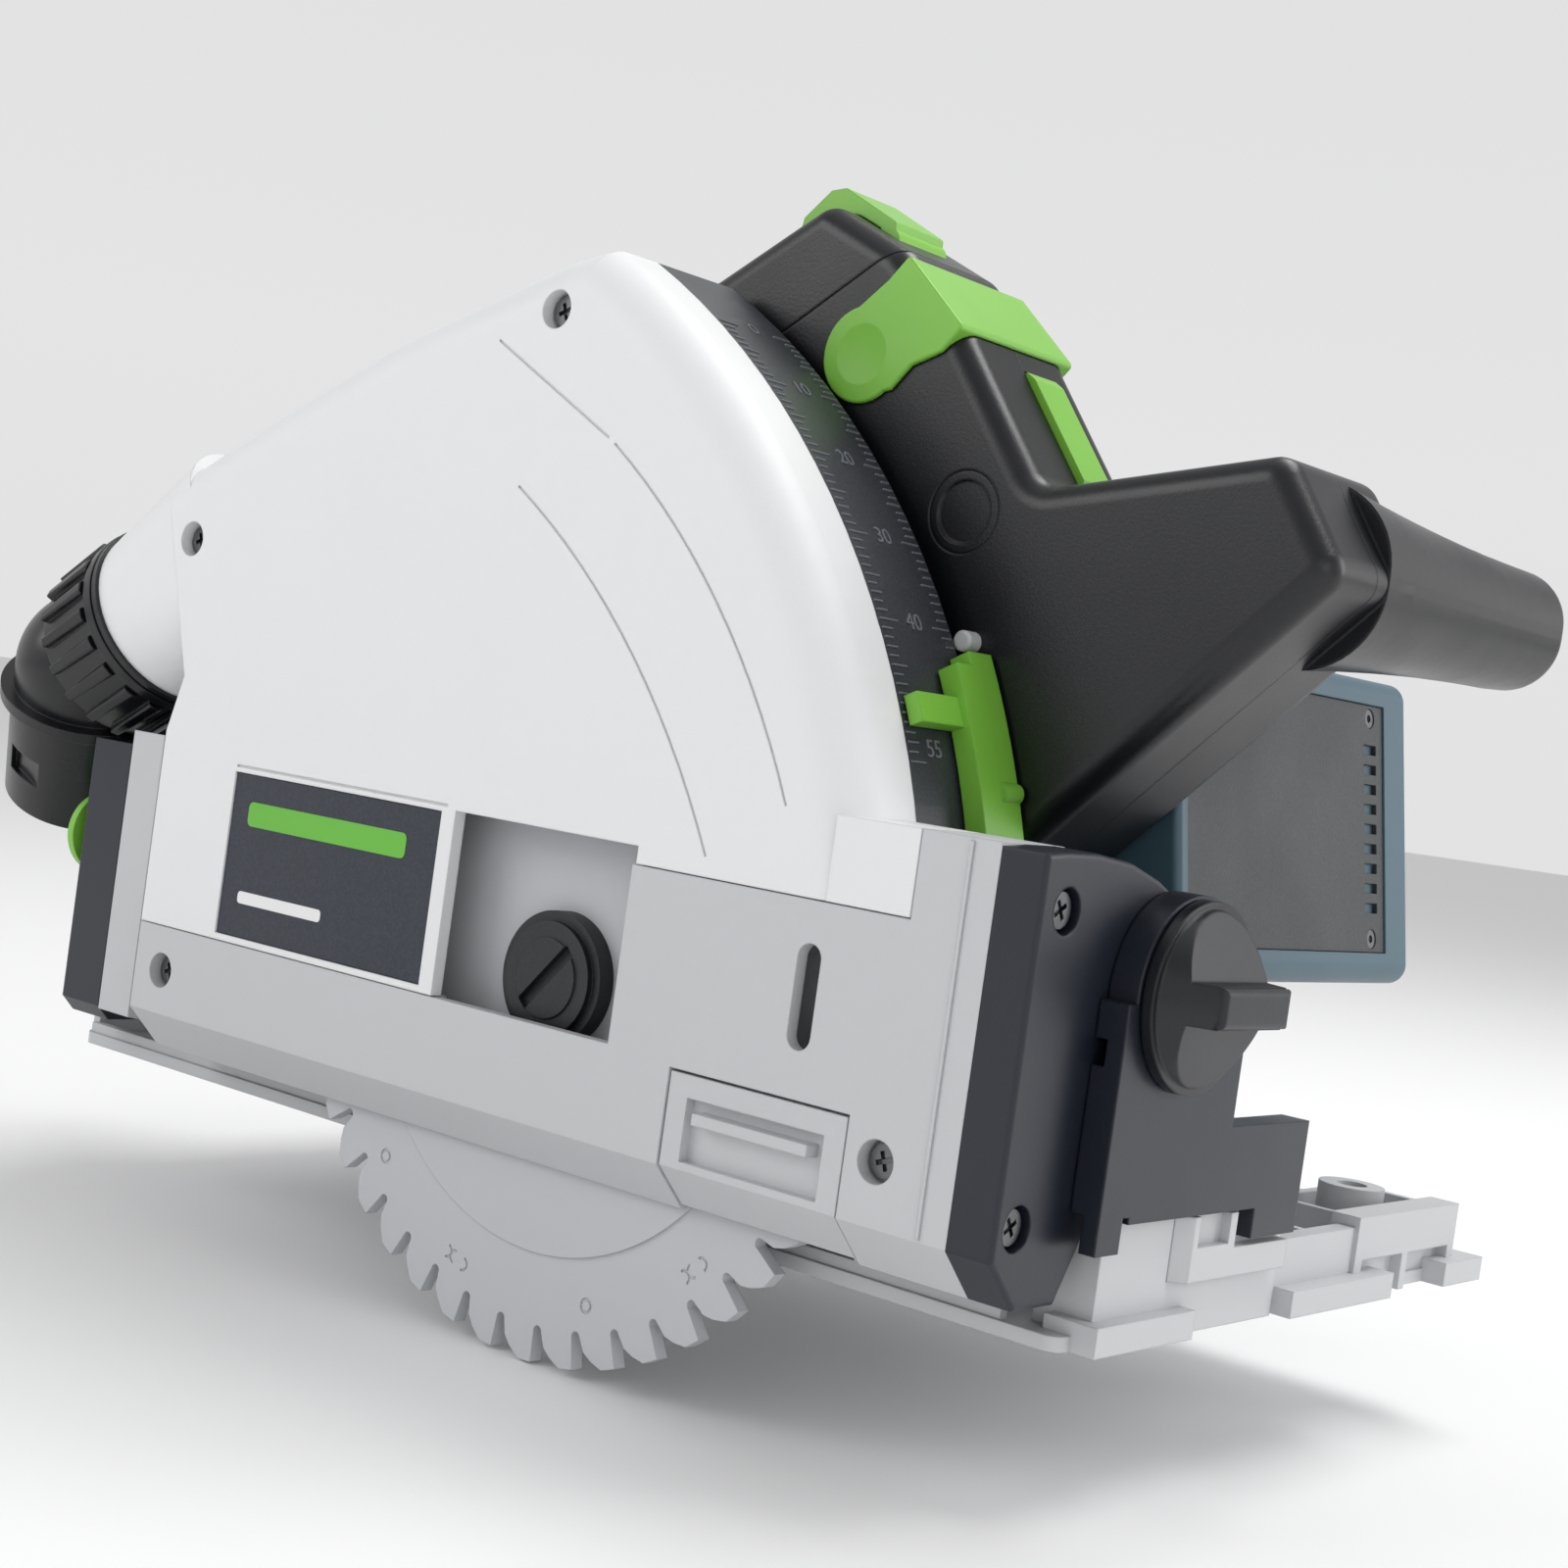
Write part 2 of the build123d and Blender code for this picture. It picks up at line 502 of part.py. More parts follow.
with BuildPart() as cover_screws:
    for x, z in FACE_SCREWS:
        drum(x, z, 2.8, FACE_SCREW_DEPTH - 1.8, FACE_SCREW_DEPTH)
        drum(x, z, 1.5, FACE_SCREW_DEPTH, 24.0)
        for turn in (0, 90):
            with BuildSketch(side(FACE_SCREW_DEPTH - 1.8), mode=Mode.PRIVATE) as cross:
                with Locations((x, z)):
                    Rectangle(3.2, 0.8, rotation=turn + 20)
            extrude(cross.sketch, amount=-0.9, mode=Mode.SUBTRACT)
save(cover_screws.part, "cover_screws")

# ---- end covers of the tilting housing -----------------------------------------------------
FRONT_CAP = [
    (0, LOWER_Z), (0, 77.4), (6.0, 77.9), (14.0, 78.0), (24.0, 77.0), (33.0, 74.5), (42.0, 70.6),
    (50.0, 65.6), (55.0, 60.0), (61.0, 47.0), (64.0, 36.0), (82.0, 33.0), (82.0, 23.4),
    (28.0, 23.4), (19.0, CHAMFER_Z), (8.0, CHAMFER_Z),
]
FRONT_CAP_IN = [
    (2.4, 17.5), (2.4, 75.0), (14.0, 75.6), (24.0, 74.6), (33.0, 72.0), (42.0, 68.0), (48.0, 64.0),
    (53.0, 58.0), (58.6, 46.0), (62.0, 34.6), (79.6, 31.0), (79.6, 25.8), (26.5, 25.8),
    (17.4, 10.0), (9.2, 10.0),
]
with BuildPart() as front_cover:
    plate(FRONT_CAP, FRONT_X, CAP_X)
    fillet(front_cover.faces().sort_by(Axis.X)[-1].edges(), 0.8)
    plate(FRONT_CAP_IN, FRONT_X - 1, CAP_X - 2.6, Mode.SUBTRACT)
    turned(BEVEL_DEPTH, 0, GUIDE_IN, GUIDE_OUT, 31.0, 40.0, CAP_X - 0.5, CAP_X + 2.2)
    for depth, z in ((7.0, 68.9), (5.6, 20.5)):
        shaft(depth, z, 4.4, FRONT_X, CAP_X - 0.5)
        shaft(depth, z, 3.7, CAP_X - 3.0, CAP_X + 1, Mode.SUBTRACT)
        shaft(depth, z, 1.7, FRONT_X - 1, CAP_X, Mode.SUBTRACT)
save(front_cover.part, "front_cover")

with BuildPart() as front_cover_screws:
    for depth, z in ((7.0, 68.9), (5.6, 20.5)):
        shaft(depth, z, 2.9, CAP_X - 3.0, CAP_X - 1.2)
        shaft(depth, z, 1.5, FRONT_X - 9.0, CAP_X - 3.0)
        for turn in (0, 90):
            with BuildSketch(front(CAP_X - 1.2), mode=Mode.PRIVATE) as cross:
                with Locations((COVER_Y + depth, z)):
                    Rectangle(3.4, 0.8, rotation=turn + 30)
            extrude(cross.sketch, amount=-0.9, mode=Mode.SUBTRACT)
save(front_cover_screws.part, "front_cover_screws")

REAR_COLUMN = [(8.0, 11.0), (8.0, 70.4), (34.0, 60.0), (34.0, 10.5), (11.0, 10.5)]
REAR_CAP = [
    (8.0, 11.5), (8.0, 67.4), (20.0, 66.5), (40.0, 59.0), (54.0, 47.0), (64.0, 32.0),
    (70.0, 14.0), (20.0, 8.5), (11.0, 8.5),
]
with BuildPart() as rear_column:
    plate(REAR_COLUMN, -131.4, -121.0)
    slab(-121.0, REAR_X, 10.0, 30.0, 14.0, 66.0)
    slab(-128.8, REAR_X + 1, 12.4, 27.6, 16.5, 63.5, Mode.SUBTRACT)
    with BuildSketch(neck_plane(-40)):
        Circle(NECK_R + 3.2)
    extrude(amount=-70, mode=Mode.SUBTRACT)
save(rear_column.part, "rear_column")

with BuildPart() as rear_cover:
    plate(REAR_CAP, REAR_CAP_X, -131.6)
    fillet(rear_cover.faces().sort_by(Axis.X)[0].edges(), 0.7)
    inner_cap = [
        (10.4, 13.0), (10.4, 64.6), (20.0, 63.8), (38.6, 57.0), (52.0, 45.6), (61.6, 31.0),
        (66.8, 16.4), (20.0, 11.0), (12.4, 11.0),
    ]
    plate(inner_cap, REAR_CAP_X + 2.4, -130.0, Mode.SUBTRACT)
    turned(BEVEL_DEPTH, 0, 48.0, 52.0, 16.0, 24.0, REAR_CAP_X - 2.2, REAR_CAP_X + 1.0)
    # bore for the release button
    shaft(17.0, 46.5, 5.4, REAR_CAP_X, REAR_CAP_X + 9.0)
    shaft(17.0, 46.5, 3.05, REAR_CAP_X - 1, REAR_CAP_X + 10.0, Mode.SUBTRACT)
    with BuildSketch(neck_plane(-40)):
        Circle(NECK_R + 3.2)
    extrude(amount=-70, mode=Mode.SUBTRACT)
save(rear_cover.part, "rear_cover")

with BuildPart() as undercut_button:
    shaft(17.0, 46.5, 9.0, REAR_CAP_X - 6.2, REAR_CAP_X - 3.4)
    fillet(undercut_button.faces().sort_by(Axis.X)[0].edges(), 1.2)
    shaft(17.0, 46.5, 3.0, REAR_CAP_X - 3.4, REAR_CAP_X + 8.0)
    shaft(17.0, 46.5, 5.6, REAR_CAP_X - 7.0, REAR_CAP_X - 5.4, Mode.SUBTRACT)
save(undercut_button.part, "undercut_button")

# ---- dust port: seal ring on the neck, ribbed collar, elbow --------------------------------
with BuildPart() as dust_ring:
    with BuildSketch(neck_plane(-1.6)):
        Circle(NECK_R + 0.8)
        Circle(NECK_R - 2.4, mode=Mode.SUBTRACT)
    extrude(amount=-1.6)
save(dust_ring.part, "dust_ring")

COLLAR_L = 21.0
with BuildPart() as dust_collar:
    with BuildSketch(neck_plane(-1.9)):
        Circle(NECK_R + 1.0)
    extrude(amount=2.4)
    with BuildSketch(neck_plane(-4.3)):
        Circle(NECK_R + 0.2)
    extrude(amount=COLLAR_L - 4, taper=3)
    # grip ribs
    for i in range(20):
        angle = 18.0 * i
        spot = Location((0, 0, 0), (0, 0, angle))
        with BuildSketch(neck_plane(-5.2), mode=Mode.PRIVATE) as rib:
            with Locations(spot):
                with Locations((NECK_R - 0.2, 0)):
                    RectangleRounded(3.4, 3.2, 0.9)
        extrude(rib.sketch, amount=COLLAR_L - 6, taper=2)
    with BuildSketch(neck_plane(0)):
        Circle(NECK_R - 3.4)
    extrude(amount=COLLAR_L + 8, mode=Mode.SUBTRACT)
save(dust_collar.part, "dust_collar")

# elbow: a round knee that turns the outlet downwards and inwards
KNEE = 29.0
OUT_R = 17.2
OUT_DIR = Vector(-0.38, 0.31, -0.87).normalized()
OUT_LENGTH = 31.0
knee = neck_plane(-KNEE).origin


def outlet_plane(distance):
    """Plane across the outlet tube, a distance down from the knee."""
    return Plane(origin=knee + OUT_DIR * distance, x_dir=OUT_DIR.cross(Vector(0, 1, 0)), z_dir=OUT_DIR)


with BuildPart() as dust_elbow:
    with Locations(knee):
        Sphere(OUT_R + 1.0)
    with BuildSketch(outlet_plane(0)):
        Circle(OUT_R + 1.0)
    extrude(amount=OUT_LENGTH)
    with BuildSketch(outlet_plane(7.0)):
        Circle(OUT_R + 1.4)
    extrude(amount=OUT_LENGTH - 7.0)
    with BuildSketch(outlet_plane(4.4)):
        Circle(OUT_R + 3.8)
    extrude(amount=2.6)
    # the collar's room
    with BuildSketch(neck_plane(4.0)):
        Circle(NECK_R + 3.0)
    extrude(amount=COLLAR_L + 4.6, mode=Mode.SUBTRACT)
    with BuildSketch(neck_plane(-COLLAR_L + 1.0)):
        Circle(NECK_R - 3.6)
    extrude(amount=KNEE - COLLAR_L - 0.6)
    # inside
    with BuildSketch(neck_plane(-COLLAR_L + 8.0)):
        Circle(NECK_R - 6.0)
    extrude(amount=KNEE - COLLAR_L + 8.0, mode=Mode.SUBTRACT)
    with Locations(knee):
        Sphere(OUT_R - 1.8, mode=Mode.SUBTRACT)
    with BuildSketch(outlet_plane(0)):
        Circle(OUT_R - 1.8)
    extrude(amount=OUT_LENGTH, mode=Mode.SUBTRACT)
    with BuildSketch(outlet_plane(OUT_LENGTH - 18.0)):
        Circle(OUT_R - 0.8)
    extrude(amount=20.0, mode=Mode.SUBTRACT)
    # bayonet catch: a shallow pocket on the near side
    with BuildSketch(outlet_plane(17.0)):
        with Locations((2.0, 18.4)):
            Rectangle(10.0, 2.6)
    extrude(amount=6.0, mode=Mode.SUBTRACT)
save(dust_elbow.part, "dust_elbow")

# ---- depth stop -------------------------------------------------------------------------------
with BuildPart() as depth_stop:
    sector(PIVOT_X, PIVOT_Z, RIM_R + 0.5, RIM_R + 4.6, 9.5, 26.6, 30.0, 41.2)
    sector(PIVOT_X, PIVOT_Z, RIM_R + 0.5, RIM_R + 4.6, 26.0, 27.5, 34.5, 41.2)
    sector(PIVOT_X, PIVOT_Z, RIM_R + 0.5, RIM_R + 3.2, 22.6, 24.5, 18.2, 31.0)
    # lip behind the band
    sector(PIVOT_X, PIVOT_Z, RIM_R - 4.0, RIM_R + 2.0, 10.5, 26.5, 38.5, 41.2)
    nub_x, nub_z = around(PIVOT_X, PIVOT_Z, RIM_R + 3.8, 18.6)
    drum(nub_x, nub_z, 1.9, 36.0, 41.2)
save(depth_stop.part, "depth_stop")

# ---- blade and drive ---------------------------------------------------------------------------
BLADE_DEPTH = 12.0
# outline of one gullet: radius and angle from its root
GULLET = [
    (62.9, -0.85), (72.0, -1.05), (72.0, 8.0), (68.9, 5.2), (67.0, 2.9), (65.4, 1.55), (62.9, 0.9),
]
# half rings of the winding grooves: offset across, radius from the axis, turn
WINDING = [(-2.3, 58.0, 0.0), (0.0, 58.0, 180.0), (2.3, 58.0, 0.0)]
with BuildPart() as blade:
    drum(0, AXLE_Z, BLADE_R, BLADE_DEPTH - 1.4, BLADE_DEPTH + 1.4)
    drum(0, AXLE_Z, 49.2, BLADE_DEPTH - 1.9, BLADE_DEPTH - 1.4)
    # gullets: a radial cutting face, a round root and a back that slopes out to the next tip
    step = 360.0 / BLADE_TEETH
    for tooth in range(BLADE_TEETH):
        angle = tooth * step
        mouth = []
        for radius, turn in GULLET:
            mouth.append(around(0, AXLE_Z, radius, angle + turn))
        prism(mouth, BLADE_DEPTH - 3, BLADE_DEPTH + 3, Mode.SUBTRACT)
        gx, gz = around(0, AXLE_Z, 62.9, angle)
        drum(gx, gz, 0.98, BLADE_DEPTH - 3, BLADE_DEPTH + 3, Mode.SUBTRACT)
    # moulded marks: six winding grooves and six small rings
    for mark in range(6):
        for start, radius, turn in WINDING:
            angle = math.radians(-48.4 + 60.0 * mark)
            lx, lz = radius, start
            gx = lx * math.cos(angle) - lz * math.sin(angle)
            gz = lx * math.sin(angle) + lz * math.cos(angle)
            sector(gx, gz + AXLE_Z, 0.95, 1.35, turn - 48.4 + 60.0 * mark, turn + 131.6 + 60.0 * mark,
                   BLADE_DEPTH - 2, BLADE_DEPTH - 1.15, Mode.SUBTRACT)
        gx, gz = around(0, AXLE_Z, 57.5, -134.4 + 60.0 * mark)
        sector(gx, gz, 0.9, 1.4, 0, 175, BLADE_DEPTH - 2, BLADE_DEPTH - 1.15, Mode.SUBTRACT)
        sector(gx, gz, 0.9, 1.4, 185, 355, BLADE_DEPTH - 2, BLADE_DEPTH - 1.15, Mode.SUBTRACT)
    drum(0, AXLE_Z, 4.0, BLADE_DEPTH - 3, BLADE_DEPTH + 3, Mode.SUBTRACT)
save(blade.part, "blade")

with BuildPart() as arbor_knob:
    drum(0, AXLE_Z, 12.0, 6.6, BLADE_DEPTH - 1.9)
    drum(0, AXLE_Z, 10.2, 5.4, 6.6)
    drum(0, AXLE_Z, 7.2, 5.0, 5.4)
    with BuildSketch(side(4.9), mode=Mode.PRIVATE) as grip_slot:
        with Locations((0, AXLE_Z)):
            Rectangle(15.0, 2.6, rotation=48)
    extrude(grip_slot.sketch, amount=-1.6, mode=Mode.SUBTRACT)
    drum(0, AXLE_Z, 3.0, 7.5, BLADE_DEPTH, Mode.SUBTRACT)
save(arbor_knob.part, "arbor_knob")

GEAR_NEAR = 47.0
GEAR_FAR = 54.0
with BuildPart() as spindle:
    drum(0, AXLE_Z, 3.0, 7.5, BLADE_DEPTH + 1.4)
    drum(0, AXLE_Z, 4.0, BLADE_DEPTH - 1.4, BLADE_DEPTH + 1.4)
    drum(0, AXLE_Z, 11.0, BLADE_DEPTH + 1.4, BLADE_DEPTH + 4.4)
    drum(0, AXLE_Z, 4.0, BLADE_DEPTH + 4.4, 69.0)
save(spindle.part, "spindle")

with BuildPart() as output_gear:
    teeth = [(x, z + AXLE_Z) for x, z in gear_outline(GEAR_TEETH, GEAR_MODULE, 0.75, 1.15, 0.42, 0.0)]
    prism(teeth, GEAR_NEAR, GEAR_FAR)
    drum(0, AXLE_Z, 8.0, GEAR_NEAR - 1.0, GEAR_FAR + 1.0)
    for i in range(6):
        x, z = around(0, AXLE_Z, 14.6, 60 * i)
        drum(x, z, 4.2, GEAR_NEAR - 1, GEAR_FAR + 1, Mode.SUBTRACT)
    drum(0, AXLE_Z, 4.0, GEAR_NEAR - 2, GEAR_FAR + 2, Mode.SUBTRACT)
save(output_gear.part, "output_gear")

mesh = math.degrees(math.atan2(AXLE_Z - MOTOR_Z, -MOTOR_X))
gear_phase = (mesh + 180.0) / (360.0 / GEAR_TEETH)
lag = (gear_phase - math.floor(gear_phase)) * 360.0 / GEAR_TEETH
pinion_phase = mesh + lag * GEAR_TEETH / PINION_TEETH + 180.0 / PINION_TEETH
with BuildPart() as motor_pinion:
    outline = gear_outline(PINION_TEETH, GEAR_MODULE, 0.75, 1.15, 0.40, pinion_phase)
    prism([(x + MOTOR_X, z + MOTOR_Z) for x, z in outline], GEAR_NEAR - 0.5, GEAR_FAR + 1.0)
    drum(MOTOR_X, MOTOR_Z, 1.5, 40, 60, Mode.SUBTRACT)
save(motor_pinion.part, "motor_pinion")

with BuildPart() as motor_shaft:
    drum(MOTOR_X, MOTOR_Z, 1.5, 45.0, 122.0)
save(motor_shaft.part, "motor_shaft")

with BuildPart() as motor_rotor:
    drum(MOTOR_X, MOTOR_Z, 11.0, 72.0, 108.0)
    for i in range(3):
        x, z = around(MOTOR_X, MOTOR_Z, 11.5, 120 * i)
        drum(x, z, 2.6, 71.0, 109.0, Mode.SUBTRACT)
    drum(MOTOR_X, MOTOR_Z, 4.6, 108.0, 114.0)
    drum(MOTOR_X, MOTOR_Z, 1.5, 60, 120, Mode.SUBTRACT)
save(motor_rotor.part, "motor_rotor")

with BuildPart() as motor_can:
    drum(MOTOR_X, MOTOR_Z, 16.0, 66.0, 120.0)
    drum(MOTOR_X, MOTOR_Z, 14.8, 67.4, 118.8, Mode.SUBTRACT)
    drum(MOTOR_X, MOTOR_Z, 4.5, 63.0, 66.0)
    drum(MOTOR_X, MOTOR_Z, 1.56, 60, 130, Mode.SUBTRACT)
    for x0 in (MOTOR_X - 17, MOTOR_X + 13.5):
        slab(x0, x0 + 3.5, 70, 110, MOTOR_Z - 16, MOTOR_Z + 16, Mode.SUBTRACT)
save(motor_can.part, "motor_can")

with BuildPart() as motor_magnets:
    sector(MOTOR_X, MOTOR_Z, 11.6, 14.7, 50.0, 130.0, 74.0, 106.0)
    sector(MOTOR_X, MOTOR_Z, 11.6, 14.7, 230.0, 310.0, 74.0, 106.0)
save(motor_magnets.part, "motor_magnets")

# ---- motor unit shells ---------------------------------------------------------------------------
UNIT = [
    (8.0, 187.5), (27.0, 178.5), (44.0, 163.0), (63.5, 137.2), (110.0, 145.0), (122.8, 126.0),
    (74.0, 78.0), (31.0, 35.5), (16.0, 12.3), (-16.0, 12.3), (-58.0, 19.0), (-97.0, 19.0),
    (-97.0, 48.0), (-66.0, 62.0), (-62.0, 122.0), (-48.0, 156.0),
]
UNIT_IN = [
    (6.5, 160.5), (26.0, 150.0), (42.0, 127.0), (104.0, 136.0), (112.5, 125.0), (70.0, 82.0),
    (26.0, 38.0), (13.5, 15.4), (-13.5, 15.4), (-56.0, 22.0), (-74.0, 22.0),
    (-74.0, 46.0), (-62.0, 58.0), (-58.0, 100.0), (38.0, 100.0), (36.0, 112.0), (20.0, 140.0),
]
LOOP = [(-36.0, 108.0), (22.0, 108.0), (24.0, 122.0), (4.0, 150.0), (-6.0, 153.5), (-30.0, 141.0), (-37.0, 126.0)]
CORE = [
    (102.0, 134.0), (110.0, 124.5), (71.0, 82.0), (29.0, 37.6), (15.0, 15.2), (-13.0, 15.2),
    (-27.0, 21.0), (-56.0, 23.0), (-70.0, 24.0), (-70.0, 44.0), (-58.0, 55.0), (-55.0, 100.0),
    (40.0, 100.0), (46.0, 126.0),
]
POST = [(31.0, 125.0), (52.0, 133.0), (57.5, 139.5), (40.5, 160.5), (27.0, 172.0), (13.0, 166.0), (10.0, 156.0)]
TRIGGER_NEAR = 58.3
TRIGGER_FAR = 67.6
SPLIT_LINE = [(31.0, 181.2), (-10.0, 154.7), (-36.0, 176.0), (-10.0, 205.0), (31.0, 205.0)]


def along_post(distance, outward):
    """Point on the front of the grip, a distance down from its upper corner."""
    return (44.0 + 0.605 * distance + 0.796 * outward, 163.0 - 0.796 * distance + 0.605 * outward)


def along_head(distance, outward):
    """Point on the short slope that carries the lock slide."""
    return (27.0 + 0.739 * distance + 0.674 * outward, 178.5 - 0.674 * distance + 0.739 * outward)


def unit_solid(grow, rounding):
    """Outer shape of the motor unit, grown a little for clearance cuts."""
    with BuildPart(mode=Mode.PRIVATE) as block:
        with BuildSketch(side(UNIT_NEAR - grow), mode=Mode.PRIVATE) as profile:
            with BuildLine():
                Polyline(*UNIT, close=True)
            make_face()
            fillet(profile.vertices(), 5.0)
            if grow > 0:
                offset(amount=grow)
        extrude(profile.sketch, amount=-(UNIT_FAR - UNIT_NEAR + 2 * grow))
        ends = block.faces().sort_by(Axis.Y)
        fillet(list(ends[0].edges()) + list(ends[-1].edges()), rounding + grow)
    return block.part


outer_unit = unit_solid(0.0, 4.6)
lock_room = unit_solid(0.15, 4.6)


def battery_plane(depth):
    """Plane across Y in the battery's tilted frame: local x = out of its face, local y = up."""
    tilt = math.radians(BATTERY_TILT)
    return Plane(
        origin=(80.0, COVER_Y + depth, 86.0),
        x_dir=(math.cos(tilt), 0, math.sin(tilt)),
        z_dir=(0, -1, 0),
    )


def battery_bar(u0, u1, v0, v1, near, far, mode=Mode.ADD, radius=0.0):
    """Box in the battery's tilted frame."""
    with BuildSketch(battery_plane(near), mode=Mode.PRIVATE) as profile:
        with Locations(((u0 + u1) / 2, (v0 + v1) / 2)):
            if radius > 0:
                RectangleRounded(u1 - u0, v1 - v0, radius)
            else:
                Rectangle(u1 - u0, v1 - v0)
    extrude(profile.sketch, amount=-(far - near), mode=mode)


pin_x, pin_z = along_post(8.0, -2.4)
with BuildPart() as unit_block:
    add(outer_unit)
    prism(LOOP, UNIT_NEAR - 1, UNIT_FAR + 1, Mode.SUBTRACT, radius=6.0)
    hand_edges = [
        e
        for face in (unit_block.faces().sort_by(Axis.Y)[0], unit_block.faces().sort_by(Axis.Y)[-1])
        for e in face.edges()
        if 106 < e.center().Z < 155 and -38 < e.center().X < 26
    ]
    fillet(hand_edges, 4.0)
    prism(CORE, UNIT_NEAR + SHELL, UNIT_FAR - SHELL, Mode.SUBTRACT, radius=3.0)
    prism(POST, UNIT_NEAR + 4.0, UNIT_FAR - 4.0, Mode.SUBTRACT, radius=2.0)
    # trigger opening and the short slot of the lock slide
    cut = [along_post(4.2, 4), along_post(30.6, 4), along_post(30.6, -8), along_post(4.2, -8)]
    prism(cut, TRIGGER_NEAR - 0.3, TRIGGER_FAR + 0.3, Mode.SUBTRACT)
    cut = [along_head(5.0, 3), along_head(14.0, 3), along_head(14.0, -9), along_head(5.0, -9)]
    prism(cut, 60.0, 66.0, Mode.SUBTRACT)
    # pivot bore, spindle passage, shaft passages
    drum(PIVOT_X, PIVOT_Z, 7.4, UNIT_NEAR, UNIT_FAR - 4.5)
    drum(PIVOT_X, PIVOT_Z, 4.06, UNIT_NEAR - 2, UNIT_FAR - 3.9, Mode.SUBTRACT)
    drum(PIVOT_X, PIVOT_Z, 6.4, UNIT_FAR - 4.1, UNIT_FAR + 1, Mode.SUBTRACT)
    # trigger pin bore and seat of the fast-change lever
    drum(pin_x, pin_z, 1.03, 56.5, 70.0, Mode.SUBTRACT)
    drum(16.8, 181.6, 1.24, 47.0, 70.0, Mode.SUBTRACT)
    drum(16.8, 181.6, 3.1, 50.6, 66.4, Mode.SUBTRACT)
    prism([(13.5, 190), (20.5, 190), (19.5, 181), (14.5, 181)], 50.6, 66.4, Mode.SUBTRACT)

with BuildPart() as left_shell:
    add(unit_block.part)
    prism(SPLIT_LINE, 30, 90, Mode.SUBTRACT)
    slab(-200, 200, UNIT_SEAM, 200, -50, 300, Mode.SUBTRACT)
    # bearing neck that reaches through the guard to the blade
    drum(0, AXLE_Z, 12.6, 19.0, UNIT_NEAR + 1)
    drum(0, AXLE_Z, 9.0, UNIT_NEAR, GEAR_NEAR - 1.4)
    drum(0, AXLE_Z, 6.0, 15.0, 62.0, Mode.SUBTRACT)
    # boss and front bush seat of the motor shaft
    drum(MOTOR_X, MOTOR_Z, 5.5, UNIT_NEAR + 2, GEAR_NEAR - 1.0)
    drum(MOTOR_X, MOTOR_Z, 1.56, UNIT_NEAR + 2.6, 60, Mode.SUBTRACT)
    # round plug seat on the near side
    drum(49.4, 131.8, 7.4, 30, UNIT_NEAR + 1.0, Mode.SUBTRACT)
    # bore of the plunge stop peg
    peg_x, peg_z = around(PIVOT_X, PIVOT_Z, RIM_R + 1.2, 28.9)
    drum(peg_x, peg_z, 1.95, 40, UNIT_NEAR + 5, Mode.SUBTRACT)
save(left_shell.part, "left_handle_shell")

with BuildPart() as right_shell:
    add(unit_block.part)
    prism(SPLIT_LINE, 30, 90, Mode.SUBTRACT)
    slab(-200, 200, -50, UNIT_SEAM, -50, 300, Mode.SUBTRACT)
    # auxiliary grip that reaches across
    sections = ((62.0, 104.5, 127.4, 34.0, 32.0), (86.0, 106.6, 127.2, 28.5, 27.4), (136.0, 110.0, 126.8, 24.0, 22.6))
    for depth, x, z, wide, tall in sections:
        with BuildSketch(side(depth)):
            with Locations((x, z)):
                RectangleRounded(wide, tall, tall / 2 - 1.0)
    loft()
    fillet(right_shell.faces().sort_by(Axis.Y)[-1].edges(), 3.0)
    drum(108.0, 127.2, 8.6, 70.0, 132.0, Mode.SUBTRACT)
    prism(CORE, UNIT_SEAM - 1, UNIT_FAR - SHELL, Mode.SUBTRACT, radius=3.0)
    # passage for the motor and far bush of the spindle
    drum(MOTOR_X, MOTOR_Z, 16.1, 60.0, 90.0, Mode.SUBTRACT)
    drum(0, AXLE_Z, 8.0, 62.5, UNIT_FAR - 1)
    drum(0, AXLE_Z, 6.0, 61.5, 70.0, Mode.SUBTRACT)
save(right_shell.part, "right_handle_shell")

with BuildPart() as top_cap:
    add(unit_block.part)
    split = [(x - 0.25 * 0.54, z + 0.25 * 0.84) for x, z in SPLIT_LINE]
    prism(split, 30, 90, Mode.INTERSECT)
save(top_cap.part, "top_cap")

with BuildPart() as spindle_bushes:
    drum(0, AXLE_Z, 6.0, 19.0, 31.0)
    drum(0, AXLE_Z, 6.0, 62.5, 69.5)
    drum(0, AXLE_Z, 4.05, 10, 80, Mode.SUBTRACT)
save(spindle_bushes.part, "spindle_bushes")

with BuildPart() as round_plug:
    drum(49.4, 131.8, 7.3, UNIT_NEAR + 0.1, UNIT_NEAR + 1.0)
    drum(49.4, 131.8, 5.6, UNIT_NEAR - 1, UNIT_NEAR + 0.5, Mode.SUBTRACT)
save(round_plug.part, "round_plug")

with BuildPart() as plunge_peg:
    drum(peg_x, peg_z, 1.9, 38.6, UNIT_NEAR + 4.0)
    fillet(plunge_peg.faces().sort_by(Axis.Y)[0].edges(), 0.6)
save(plunge_peg.part, "plunge_peg")

# trigger and its pin
with BuildPart() as trigger:
    shape = [along_post(4.8, 0.4), along_post(7.0, 1.2), along_post(29.0, 1.2), along_post(30.0, 0.4),
             along_post(30.0, -5.0), along_post(4.8, -5.6)]
    prism(shape, TRIGGER_NEAR, TRIGGER_FAR)
    drum(pin_x, pin_z, 1.06, 50, 80, Mode.SUBTRACT)
save(trigger.part, "trigger")

with BuildPart() as trigger_pin:
    drum(pin_x, pin_z, 1.0, 56.8, 69.7)
save(trigger_pin.part, "trigger_pin")

